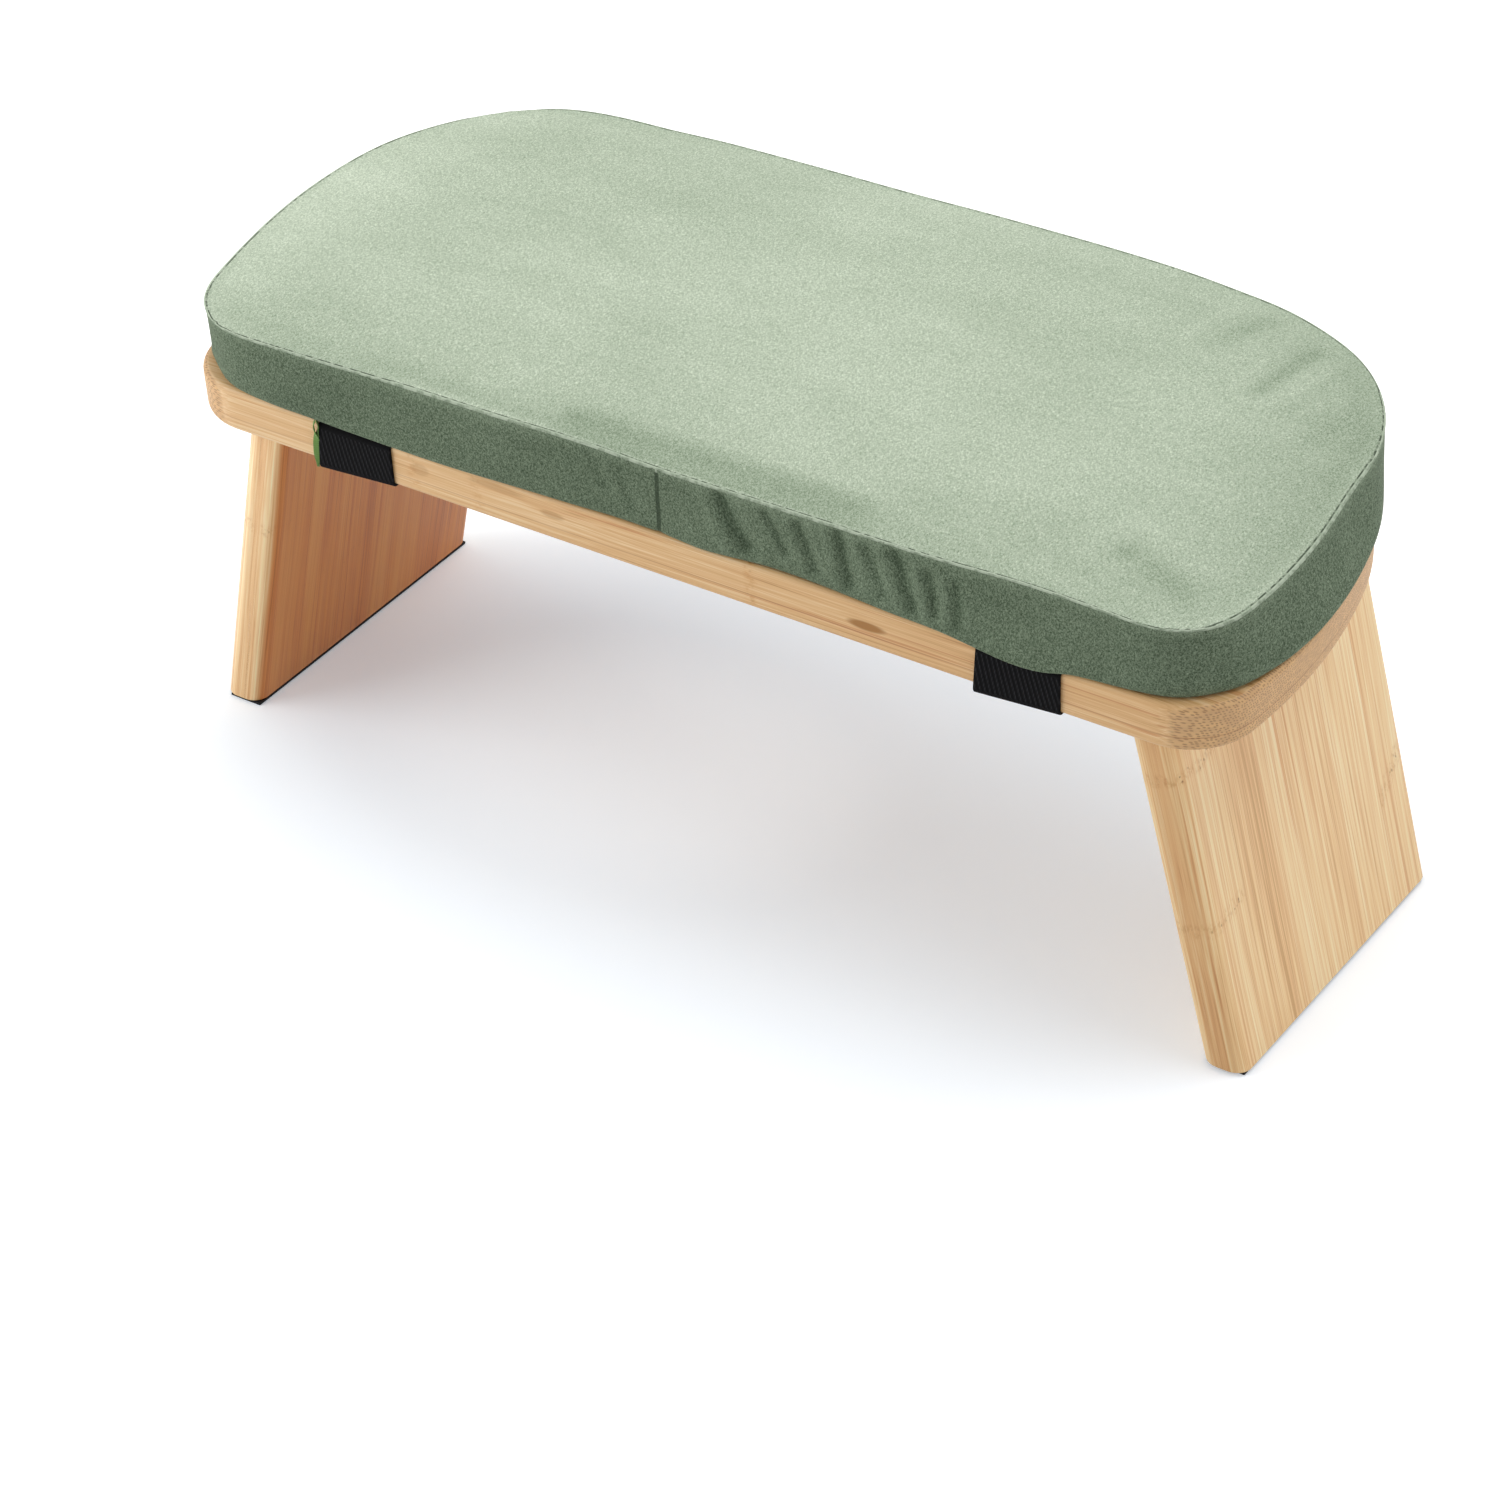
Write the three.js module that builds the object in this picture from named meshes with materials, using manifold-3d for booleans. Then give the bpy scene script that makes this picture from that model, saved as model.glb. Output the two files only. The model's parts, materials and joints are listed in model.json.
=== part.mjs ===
// Folding meditation bench, standing open on the floor.
// Millimetres, +Z up, +X along the seat, -Y the side of the sitter's knees.
// The origin is on the floor, under the middle of the whole bench.

import * as THREE from "three";
import { mergeVertices } from "three/addons/utils/BufferGeometryUtils.js";
import Module from "manifold-3d";

const wasm = await Module();
wasm.setup();

const radians = THREE.MathUtils.degToRad;
const { cos, sin } = Math;

// Clearance between solids that touch on the real bench, and the overrun of a cut past its surface
const touchGap = 0.3;
const cutOverrun = 4;

// Seat board: overall size, edge rounding and the arcs of its outline from the rear to the front
const seatLength = 460;
const seatDepth = 204;
const boardThickness = 19.2;
const boardEdgeRadius = 2.6;
const boardEasingRadius = 416;
const boardShoulderRadius = 112;
const boardEndRadius = 233;
const boardCornerRadius = 28;
const easingTurn = radians(6.3);
const shoulderTurn = radians(78.6);

// Height of the board's underside over the floor at its middle, and its slope down to the knees
const seatHeight = 158.9;
const seatTilt = radians(6.2);

// Leg panels: setback of their inner faces from the board's ends and of their edges from its front and rear
const legThickness = 17.5;
const legEdgeRadius = 6.6;
const legEndSetback = 47.5;
const legFrontSetback = 8.4;
const legRearSetback = 41.4;
const legSplay = radians(13);

// Anti-slip strips under the legs, laid by hand a little in from a leg's faces and edges
const footPadThickness = 1.2;
const footPadCornerRadius = 0.4;
const footPadRearInset = 2;
const leftPadInnerInset = 0.1;
const leftPadOuterInset = 2.7;
const leftPadFrontInset = 1.2;
const rightPadInnerInset = 1.2;
const rightPadOuterInset = 1.6;
const rightPadFrontInset = 3.2;

// Butt hinges, two to a leg, let in flush
const hingeLength = 30;
const hingeFromLegEdge = 34;
const leafWidth = 13;
const leafThickness = 1.2;
const knuckleRadius = 2.2;
const pinRadius = 1.1;
const pinClearance = 0.2;
const knuckleCount = 3;

// Countersunk wood screws, two to a leaf, with a cross recess
const screwLength = 10;
const screwHeadRadius = 2.3;
const screwShankRadius = 1.1;
const screwTipLength = 2.5;
const screwClearance = 0.2;
const screwFromAxis = 8;
const screwSpacing = 18;
const recessLength = 2.6;
const recessWidth = 0.6;
const recessDepth = 0.7;

// Elastic straps: each inset runs from a leg's inner face at the board to the strap's near edge
const strapWidth = 33.5;
const strapThickness = 1.2;
const leftStrapFrontInset = 26.45;
const leftStrapRearInset = 26.75;
const rightStrapFrontInset = 19.55;
const rightStrapRearInset = 14.75;

// Ribbon tab beside the left strap
const tabWidth = 2.6;
const tabThickness = 1.2;
const tabReach = 20.5;

// Cushion: outline at its top seam, set in from the board's ends and over its rear and front edges
const cushionEndInset = 1.5;
const cushionRearOverhang = 3.5;
const cushionFrontOverhang = 1.5;
const cushionEasingRadius = 420;
const cushionShoulderRadius = 98;
const cushionEndRadius = 240;
const cushionCornerRadius = 36;
const bandHeight = 29;
const bandBulge = 2.2;
const crownHeight = 5.5;
const bottomSeamInset = 5;
const bottomFlatInset = 17;
const coverThickness = 1.2;
const zipLength = 230;
const zipHeight = 7;

// Steps in which round stretches are faceted
const easingSteps = 1;
const shoulderSteps = 9;
const endSteps = 3;
const cornerSteps = 5;
const edgeSteps = 3;
const legEdgeSteps = 5;
const padCornerSteps = 2;
const knuckleSides = 16;
const pinSides = 12;
const screwSides = 10;
const strapStations = 5;
const bandRings = 4;

// Rings of the crown as shares of the way from the spine to the top seam, and how it falls to the seam
const crownRingShares = [0.95, 0.84, 0.64, 0.36, 0.12];
const crownFallPower = 4;
const bandSwellPower = 2.5;

// Sizes that follow from the ones above
const legSpacing = seatLength - 2 * legEndSetback;
const jointOffset = knuckleRadius - leafThickness;
const mortiseDepth = leafThickness + touchGap;
const legFront = legFrontSetback - seatDepth / 2;
const legRear = seatDepth / 2 - legRearSetback;
const hingeX = legSpacing / 2 - (jointOffset - jointOffset * sin(legSplay)) / cos(legSplay);
const hingeZ = -jointOffset;
const cushionBase = boardThickness + touchGap;
const bottomSeamLift = strapThickness + touchGap;
const strapTuck = bottomSeamInset - touchGap;
const strapReach = legSpacing / 2 - strapWidth / 2;

const boardPlan = {
  length: seatLength,
  depth: seatDepth,
  middle: 0,
  easingRadius: boardEasingRadius,
  shoulderRadius: boardShoulderRadius,
  endRadius: boardEndRadius,
  cornerRadius: boardCornerRadius,
};

const cushionPlan = {
  length: seatLength - 2 * cushionEndInset,
  depth: seatDepth + cushionRearOverhang + cushionFrontOverhang,
  middle: (cushionRearOverhang - cushionFrontOverhang) / 2,
  easingRadius: cushionEasingRadius,
  shoulderRadius: cushionShoulderRadius,
  endRadius: cushionEndRadius,
  cornerRadius: cushionCornerRadius,
};

const finishes = {
  bamboo: { color: 0xdcb37c, roughness: 0.5, metalness: 0 },
  steel: { color: 0xb4b4b0, roughness: 0.35, metalness: 0.9 },
  rubber: { color: 0x18181a, roughness: 0.8, metalness: 0 },
  elastic: { color: 0x0c0d10, roughness: 0.85, metalness: 0 },
  velvet: { color: 0x8ba78a, roughness: 0.95, metalness: 0 },
  foam: { color: 0xe8e2cc, roughness: 0.95, metalness: 0 },
  zipTape: { color: 0x6f8a6f, roughness: 0.85, metalness: 0 },
  ribbon: { color: 0x6d9440, roughness: 0.7, metalness: 0 },
};

// Closed meshes become solids for a cut or a join, and go back to geometries afterwards

function toSolid(geometry) {
  const bare = geometry.clone();
  bare.deleteAttribute("normal");
  bare.deleteAttribute("uv");
  const merged = mergeVertices(bare);
  return new wasm.Manifold(new wasm.Mesh({
    numProp: 3,
    vertProperties: new Float32Array(merged.attributes.position.array),
    triVerts: new Uint32Array(merged.index.array),
  }));
}

function toGeometry(solid) {
  const { numProp, vertProperties, triVerts } = solid.getMesh();
  const count = vertProperties.length / numProp;
  const places = new Float32Array(count * 3);
  for (let i = 0; i < count; i += 1) {
    places.set(vertProperties.subarray(i * numProp, i * numProp + 3), i * 3);
  }
  return indexed(places, Array.from(triVerts));
}

function indexed(places, triangles) {
  const geometry = new THREE.BufferGeometry();
  geometry.setAttribute("position", new THREE.BufferAttribute(new Float32Array(places), 3));
  geometry.setIndex(triangles);
  geometry.computeVertexNormals();
  return geometry;
}

function cutAway(geometry, cutters) {
  let solid = toSolid(geometry);
  for (const cutter of cutters) {
    solid = solid.subtract(toSolid(cutter));
  }
  return toGeometry(solid);
}

// A box from its lowest and highest corners, whichever way round they are given
function blockBetween(from, to) {
  const box = new THREE.Box3().setFromPoints([from, to]);
  const size = box.getSize(new THREE.Vector3());
  const middle = box.getCenter(new THREE.Vector3());
  return new THREE.BoxGeometry(size.x, size.y, size.z).translate(middle.x, middle.y, middle.z);
}

// Outline of a plan, counterclockwise from the front right corner: each place with its outward normal.
// The half outline runs straight from the rear middle, then turns through four arcs to the front edge.
function outlineOf(plan) {
  const { length, depth, middle, easingRadius, shoulderRadius, endRadius, cornerRadius } = plan;
  const rearStraight = length / 2 - easingRadius * sin(easingTurn)
    - shoulderRadius * (sin(shoulderTurn) - sin(easingTurn)) - endRadius * (1 - sin(shoulderTurn));
  const shoulderDrop = easingRadius * (1 - cos(easingTurn))
    + shoulderRadius * (cos(easingTurn) - cos(shoulderTurn));
  const endTurn = Math.acos(
    (depth - shoulderDrop - endRadius * cos(shoulderTurn) - cornerRadius) / (cornerRadius - endRadius),
  );
  const arcs = [
    { radius: easingRadius, end: easingTurn, steps: easingSteps },
    { radius: shoulderRadius, end: shoulderTurn, steps: shoulderSteps },
    { radius: endRadius, end: endTurn, steps: endSteps },
    { radius: cornerRadius, end: Math.PI, steps: cornerSteps },
  ];
  const half = [{ x: rearStraight, y: middle + depth / 2, turn: 0 }];
  for (const { radius, end, steps } of arcs) {
    const start = half.at(-1);
    const centreX = start.x - radius * sin(start.turn);
    const centreY = start.y - radius * cos(start.turn);
    for (let i = 1; i <= steps; i += 1) {
      const turn = start.turn + (end - start.turn) * (i / steps);
      half.push({ x: centreX + radius * sin(turn), y: centreY + radius * cos(turn), turn });
    }
  }
  const right = half.toReversed().map(({ x, y, turn }) => ({ x, y, nx: sin(turn), ny: cos(turn) }));
  const left = half.map(({ x, y, turn }) => ({ x: -x, y, nx: -sin(turn), ny: cos(turn) }));
  return [...right, ...left];
}

// Rear edge of the board at a distance from the bench's middle, and how far it slants there
function boardRearAt(x) {
  const rear = outlineOf(boardPlan).filter(({ nx, ny }) => nx >= 0 && ny > 0).toReversed();
  const far = rear.findIndex((place) => place.x > Math.abs(x));
  if (far <= 0) {
    return { y: rear[0].y, slant: 0 };
  }
  const [near, next] = [rear[far - 1], rear[far]];
  const share = (Math.abs(x) - near.x) / (next.x - near.x);
  return {
    y: near.y + (next.y - near.y) * share,
    slant: Math.atan2(near.y - next.y, next.x - near.x),
  };
}

function shapeOf(places) {
  return new THREE.Shape(places.map(({ x, y }) => new THREE.Vector2(x, y)));
}

function roundedRectangle(lowX, lowY, highX, highY, radius) {
  const shape = new THREE.Shape();
  shape.absarc(highX - radius, highY - radius, radius, 0, Math.PI / 2, false);
  shape.absarc(lowX + radius, highY - radius, radius, Math.PI / 2, Math.PI, false);
  shape.absarc(lowX + radius, lowY + radius, radius, Math.PI, Math.PI * 1.5, false);
  shape.absarc(highX - radius, lowY + radius, radius, Math.PI * 1.5, Math.PI * 2, false);
  return shape;
}

// A closed surface through rings that run from the bottom's middle outwards, up and back in over the top
function loftThrough(rings, bottomMiddle, topMiddle) {
  const count = rings[0].length;
  const places = [...rings.flat(), bottomMiddle, topMiddle].flatMap((place) => place.toArray());
  const bottom = rings.length * count;
  const top = bottom + 1;
  const last = (rings.length - 1) * count;
  const triangles = [];
  for (let i = 0; i < count; i += 1) {
    const next = (i + 1) % count;
    triangles.push(bottom, next, i, top, last + i, last + next);
    for (let start = 0; start < last; start += count) {
      const above = start + count;
      triangles.push(start + i, start + next, above + next, start + i, above + next, above + i);
    }
  }
  return indexed(places, triangles);
}

// A closed band between two grids of the same size, such as the inner and outer face of a strap
function bandBetween(inner, outer) {
  const rows = inner.length;
  const columns = inner[0].length;
  const places = [...inner.flat(), ...outer.flat()].flatMap((place) => place.toArray());
  const lift = rows * columns;
  const triangles = [];
  const quad = (a, b, c, d) => triangles.push(a, b, c, a, c, d);
  for (let row = 0; row < rows - 1; row += 1) {
    for (let column = 0; column < columns - 1; column += 1) {
      const a = row * columns + column;
      const b = a + 1;
      const c = b + columns;
      const d = a + columns;
      quad(a, d, c, b);
      quad(a + lift, b + lift, c + lift, d + lift);
    }
  }
  for (let column = 0; column < columns - 1; column += 1) {
    const far = (rows - 1) * columns + column;
    quad(column, column + 1, column + 1 + lift, column + lift);
    quad(far + 1, far, far + lift, far + 1 + lift);
  }
  for (let row = 0; row < rows - 1; row += 1) {
    const near = row * columns;
    const far = near + columns - 1;
    quad(near + columns, near, near + lift, near + columns + lift);
    quad(far, far + columns, far + columns + lift, far + lift);
  }
  return indexed(places, triangles);
}

function piece(name, geometry, finish) {
  const mesh = new THREE.Mesh(geometry, new THREE.MeshStandardMaterial(finish));
  mesh.name = name;
  return mesh;
}

// Screws and hinges. A leaf lies in a frame of its own: +X away from the pin along the leaf,
// +Y along the pin and +Z into the wood. Its face flush with the wood is at jointOffset.

const knuckleLength = hingeLength / knuckleCount;
const screwPlaces = [
  { mark: "a", y: -screwSpacing / 2 },
  { mark: "b", y: screwSpacing / 2 },
];

// A turned solid about +Z from pairs of radius and height
function turned(profile) {
  const points = profile.map(([radius, height]) => new THREE.Vector2(radius, height));
  return new THREE.LatheGeometry(points, screwSides).rotateX(Math.PI / 2);
}

function screwGeometry() {
  const shank = turned([
    [0, 0],
    [screwHeadRadius, 0],
    [screwShankRadius, leafThickness],
    [screwShankRadius, screwLength - screwTipLength],
    [0, screwLength],
  ]);
  const half = recessLength / 2;
  const halfWidth = recessWidth / 2;
  const recess = [[half, halfWidth], [halfWidth, half]].map(([x, y]) => blockBetween(
    new THREE.Vector3(-x, -y, -cutOverrun),
    new THREE.Vector3(x, y, recessDepth),
  ));
  return cutAway(shank, recess);
}

// The clearance of a screw: its countersink, and its hole through the leaf and into the wood
function screwHole() {
  const sink = screwHeadRadius + screwClearance;
  const hole = screwShankRadius + screwClearance;
  return turned([
    [0, -cutOverrun],
    [sink, -cutOverrun],
    [sink, 0],
    [hole, leafThickness],
    [hole, screwLength + screwClearance],
    [0, screwLength + screwClearance],
  ]);
}

function screwHoles() {
  return screwPlaces.map(({ y }) => screwHole().translate(screwFromAxis, y, jointOffset));
}

// Middles of a leaf's knuckles along the pin: the seat leaf has the even ones and the leg leaf the odd
function knuckles(odd) {
  const middles = [];
  for (let i = odd ? 1 : 0; i < knuckleCount; i += 2) {
    middles.push((i + 0.5) * knuckleLength - hingeLength / 2);
  }
  return middles;
}

function barrel(radius, length, y) {
  return new THREE.CylinderGeometry(radius, radius, length, knuckleSides).translate(0, y, 0);
}

function leafGeometry(odd) {
  const half = hingeLength / 2;
  let solid = toSolid(blockBetween(
    new THREE.Vector3(0, -half, jointOffset),
    new THREE.Vector3(leafWidth, half, knuckleRadius),
  ));
  for (const y of knuckles(!odd)) {
    solid = solid.subtract(toSolid(barrel(knuckleRadius + touchGap, knuckleLength, y)));
  }
  for (const y of knuckles(odd)) {
    solid = solid.add(toSolid(barrel(knuckleRadius, knuckleLength - touchGap, y)));
  }
  const bore = barrel(pinRadius + pinClearance, hingeLength + cutOverrun, 0);
  return cutAway(toGeometry(solid), [bore, ...screwHoles()]);
}

// The room that the barrel and a leaf need in the wood
function mortise() {
  const half = hingeLength / 2 + touchGap;
  return blockBetween(
    new THREE.Vector3(-knuckleRadius - touchGap, -half, -knuckleRadius),
    new THREE.Vector3(leafWidth + touchGap, half, jointOffset + mortiseDepth),
  );
}

const hingePlaces = [
  { end: "front", y: legFront + hingeFromLegEdge },
  { end: "rear", y: legRear - hingeFromLegEdge },
];

// Frames of the leaves, in the seat's frame and in a leg's frame. side is 1 right and -1 left.
function seatLeafFrame(side, y) {
  return new THREE.Matrix4().makeTranslation(side * hingeX, y, hingeZ)
    .multiply(new THREE.Matrix4().makeRotationZ(side > 0 ? Math.PI : 0));
}

function legLeafFrame(side, y) {
  return new THREE.Matrix4().makeTranslation(0, y, 0)
    .multiply(new THREE.Matrix4().makeRotationY(side * Math.PI / 2))
    .multiply(new THREE.Matrix4().makeRotationZ(side > 0 ? 0 : Math.PI));
}

function leafCutters(frame) {
  return [mortise(), ...screwHoles()].map((cutter) => cutter.applyMatrix4(frame));
}

// Seat board, in the seat's frame: its underside at zero height

function seatBoard() {
  const board = new THREE.ExtrudeGeometry(shapeOf(outlineOf(boardPlan)), {
    depth: boardThickness - 2 * boardEdgeRadius,
    bevelEnabled: true,
    bevelThickness: boardEdgeRadius,
    bevelSize: boardEdgeRadius,
    bevelOffset: -boardEdgeRadius,
    bevelSegments: edgeSteps,
  }).translate(0, 0, boardEdgeRadius);
  const cutters = [-1, 1].flatMap((side) => hingePlaces.flatMap(
    ({ y }) => leafCutters(seatLeafFrame(side, y)),
  ));
  return piece("seat_board", cutAway(board, cutters), finishes.bamboo);
}

// Legs, in a frame with its origin on the hinge axis: X through the thickness, Z up along the leg.
// A place in a leg at depth n behind the inner side's pin and at y meets a level here:

function legHeightAtFloorLevel(n, y, level) {
  const seatZ = (level - seatHeight - y * sin(seatTilt)) / cos(seatTilt);
  return (seatZ - hingeZ - n * sin(legSplay)) / cos(legSplay);
}

function legHeightAtSeat(n) {
  return (-touchGap - hingeZ - n * sin(legSplay)) / cos(legSplay);
}

// A leg's section, set in from its four sides and run along the leg between a low and a high end,
// which may both slant
function slantedPrism(side, { inner, outer, front, rear }, radius, steps, lowEnd, highEnd) {
  const faces = [side * (jointOffset + inner), side * (jointOffset + legThickness - outer)];
  const [low, high] = [Math.min(...faces), Math.max(...faces)];
  const section = roundedRectangle(low, legFront + front, high, legRear - rear, radius);
  const geometry = new THREE.ExtrudeGeometry(section, {
    depth: 1,
    bevelEnabled: false,
    curveSegments: steps,
  });
  const places = geometry.attributes.position;
  for (let i = 0; i < places.count; i += 1) {
    const n = side * places.getX(i);
    const y = places.getY(i);
    places.setZ(i, places.getZ(i) > 0 ? highEnd(n, y) : lowEnd(n, y));
  }
  return geometry;
}

function legPanel(side) {
  const blank = slantedPrism(
    side,
    { inner: 0, outer: 0, front: 0, rear: 0 },
    legEdgeRadius,
    legEdgeSteps,
    (n, y) => legHeightAtFloorLevel(n, y, footPadThickness + touchGap),
    (n) => legHeightAtSeat(n),
  );
  return cutAway(blank, hingePlaces.flatMap(({ y }) => leafCutters(legLeafFrame(side, y))));
}

function footPad(side) {
  const insets = side < 0
    ? { inner: leftPadInnerInset, outer: leftPadOuterInset, front: leftPadFrontInset }
    : { inner: rightPadInnerInset, outer: rightPadOuterInset, front: rightPadFrontInset };
  return slantedPrism(
    side,
    { ...insets, rear: footPadRearInset },
    footPadCornerRadius,
    padCornerSteps,
    (n, y) => legHeightAtFloorLevel(n, y, 0),
    (n, y) => legHeightAtFloorLevel(n, y, footPadThickness),
  );
}

function leafAndScrews(sideName, end, holder, odd, frame) {
  const parts = [piece(`hinge_${sideName}_${end}_${holder}_leaf`, leafGeometry(odd), finishes.steel)];
  for (const { mark, y } of screwPlaces) {
    const name = `screw_${sideName}_${end}_${holder}_${mark}`;
    parts.push(piece(name, screwGeometry().translate(screwFromAxis, y, jointOffset), finishes.steel));
  }
  return parts.map((part) => {
    part.applyMatrix4(frame);
    return part;
  });
}

function legAssembly(side, sideName) {
  const leg = new THREE.Group();
  leg.position.set(side * hingeX, 0, hingeZ);
  leg.rotation.y = -side * legSplay;
  leg.add(piece(`leg_${sideName}`, legPanel(side), finishes.bamboo));
  leg.add(piece(`foot_pad_${sideName}`, footPad(side), finishes.rubber));
  for (const { end, y } of hingePlaces) {
    leg.add(...leafAndScrews(sideName, end, "leg", true, legLeafFrame(side, y)));
  }
  return leg;
}

function seatHinges(side, sideName) {
  const hinges = new THREE.Group();
  for (const { end, y } of hingePlaces) {
    hinges.add(...leafAndScrews(sideName, end, "seat", false, seatLeafFrame(side, y)));
    const pin = new THREE.CylinderGeometry(pinRadius, pinRadius, hingeLength, pinSides)
      .translate(side * hingeX, y, hingeZ);
    hinges.add(piece(`hinge_${sideName}_${end}_pin`, pin, finishes.steel));
  }
  return hinges;
}

// Straps and tab. A section of the board is a bar with rounded edges. This is the path round it at
// a distance off its surface, from the top at the front, down, under and up again at the rear.
// Each step is { x, y, z }, where a strip's place across its width sets x.

function wrapPath(frontX, rearX, distance) {
  const { y: rear, slant } = boardRearAt(rearX);
  const front = -seatDepth / 2;
  const reach = boardEdgeRadius + distance;
  const top = boardThickness - boardEdgeRadius;
  const path = [];
  const step = (y, z) => {
    const share = (y - front) / (rear - front);
    path.push(new THREE.Vector3(frontX + (rearX - frontX) * share, y, z));
  };
  const bend = (y, z, from, stretch) => {
    for (let i = 0; i <= edgeSteps; i += 1) {
      const turn = from + (Math.PI / 2) * (i / edgeSteps);
      step(y + (reach * cos(turn)) / stretch, z + reach * sin(turn));
    }
  };
  step(front + strapTuck, boardThickness + distance);
  bend(front + boardEdgeRadius, top, Math.PI / 2, 1);
  bend(front + boardEdgeRadius, boardEdgeRadius, Math.PI, 1);
  bend(rear - boardEdgeRadius / cos(slant), boardEdgeRadius, Math.PI * 1.5, cos(slant));
  bend(rear - boardEdgeRadius / cos(slant), top, 0, cos(slant));
  step(rear - strapTuck / cos(slant), boardThickness + distance);
  return path;
}

function strap(side, frontInset, rearInset) {
  const frontPlace = side * (strapReach - frontInset);
  const rearPlace = side * (strapReach - rearInset);
  const face = (distance) => {
    const rows = [];
    for (let i = 0; i <= strapStations; i += 1) {
      const across = strapWidth * (i / strapStations) - strapWidth / 2;
      rows.push(wrapPath(frontPlace + across, rearPlace + across, distance));
    }
    return rows;
  };
  return bandBetween(face(touchGap), face(touchGap + strapThickness));
}

function ribbonTab() {
  const strapEdge = leftStrapFrontInset - legSpacing / 2 - touchGap;
  const level = boardThickness - tabReach;
  const face = (distance) => [strapEdge - tabWidth, strapEdge].map((x) => {
    const start = wrapPath(x, x, distance).slice(0, edgeSteps + 2);
    return [...start, new THREE.Vector3(x, start.at(-1).y, level)];
  });
  return bandBetween(face(touchGap), face(touchGap + tabThickness));
}

// Cushion: a boxed form with a crowned top, a side band that stands out between its seams, and a
// bottom drawn in to lie on the board. A shrunk form gives the cover's inside and the foam.

function cushionForm(shrink) {
  const boardEdge = outlineOf(boardPlan);
  const seamEdge = outlineOf(cushionPlan);
  const offset = (edge, outwards, z) => edge.map(
    ({ x, y, nx, ny }) => new THREE.Vector3(x + nx * outwards, y + ny * outwards, z),
  );
  const bottom = cushionBase + shrink;
  const bottomSeam = offset(boardEdge, -bottomSeamInset - shrink, bottom + bottomSeamLift);
  const topSeam = offset(seamEdge, -shrink, cushionBase + bandHeight - shrink);
  const rings = [offset(boardEdge, -bottomFlatInset - shrink, bottom), bottomSeam];
  for (let k = 1; k <= bandRings; k += 1) {
    const share = k / (bandRings + 1);
    const swell = 1 - (1 - share) ** bandSwellPower;
    const bulge = bandBulge * sin(Math.PI * share);
    rings.push(bottomSeam.map((low, i) => {
      const high = topSeam[i];
      const out = low.clone().lerp(high, swell);
      const { nx, ny } = seamEdge[i];
      return new THREE.Vector3(out.x + nx * bulge, out.y + ny * bulge, low.z + (high.z - low.z) * share);
    }));
  }
  rings.push(topSeam);
  const spine = (cushionPlan.length - cushionPlan.depth) / 2;
  for (const share of crownRingShares) {
    const rise = crownHeight * (1 - share ** crownFallPower);
    rings.push(topSeam.map(({ x, y, z }) => {
      const spineX = THREE.MathUtils.clamp(x, -spine, spine);
      const spineY = cushionPlan.middle;
      return new THREE.Vector3(spineX + (x - spineX) * share, spineY + (y - spineY) * share, z + rise);
    }));
  }
  const crown = topSeam[0].z + crownHeight;
  return loftThrough(
    rings,
    new THREE.Vector3(0, 0, bottom),
    new THREE.Vector3(0, cushionPlan.middle, crown),
  );
}

// The zip lies in a slot through the rear of the side band. margin makes the slot larger or smaller.
function zipRoom(margin) {
  const level = cushionBase + bandHeight / 2;
  return toSolid(blockBetween(
    new THREE.Vector3(-zipLength / 2 - margin, seatDepth / 4, level - zipHeight / 2 - margin),
    new THREE.Vector3(zipLength / 2 + margin, seatDepth, level + zipHeight / 2 + margin),
  ));
}

function cushion() {
  const cover = toSolid(cushionForm(0)).subtract(toSolid(cushionForm(coverThickness)));
  const parts = new THREE.Group();
  parts.add(piece("cushion_cover", toGeometry(cover.subtract(zipRoom(0))), finishes.velvet));
  parts.add(piece("cushion_zip", toGeometry(cover.intersect(zipRoom(-touchGap))), finishes.zipTape));
  parts.add(piece("cushion_foam", cushionForm(coverThickness + touchGap), finishes.foam));
  return parts;
}

// The seat's frame tilts the board and all it carries. The bench is then centred over the origin.

const seat = new THREE.Group();
seat.rotation.x = seatTilt;
seat.position.z = seatHeight;
seat.add(seatBoard());
seat.add(cushion());
seat.add(piece("strap_left", strap(-1, leftStrapFrontInset, leftStrapRearInset), finishes.elastic));
seat.add(piece("strap_right", strap(1, rightStrapFrontInset, rightStrapRearInset), finishes.elastic));
seat.add(piece("ribbon_tab", ribbonTab(), finishes.ribbon));
for (const [side, sideName] of [[-1, "left"], [1, "right"]]) {
  seat.add(seatHinges(side, sideName));
  seat.add(legAssembly(side, sideName));
}

const bench = new THREE.Group();
bench.add(seat);
bench.updateMatrixWorld(true);
const middle = new THREE.Box3().setFromObject(bench, true).getCenter(new THREE.Vector3());
seat.position.x -= middle.x;
seat.position.y -= middle.y;
bench.updateMatrixWorld(true);

export default bench;
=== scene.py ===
"""The looks of a folding meditation bench.

A bamboo seat stands on two splayed legs that fold in under it. A boxed velvet cushion lies on the
seat, held by two elastic straps. Everything is in metres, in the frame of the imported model.
"""

import json
import logging
import math
from collections.abc import Callable, Iterable, Iterator, Sequence
from contextlib import contextmanager
from dataclasses import dataclass, field
from enum import Enum

import bmesh
import bpy
from mathutils import Matrix, Vector, noise
from mathutils.bvhtree import BVHTree
from mathutils.kdtree import KDTree


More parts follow.
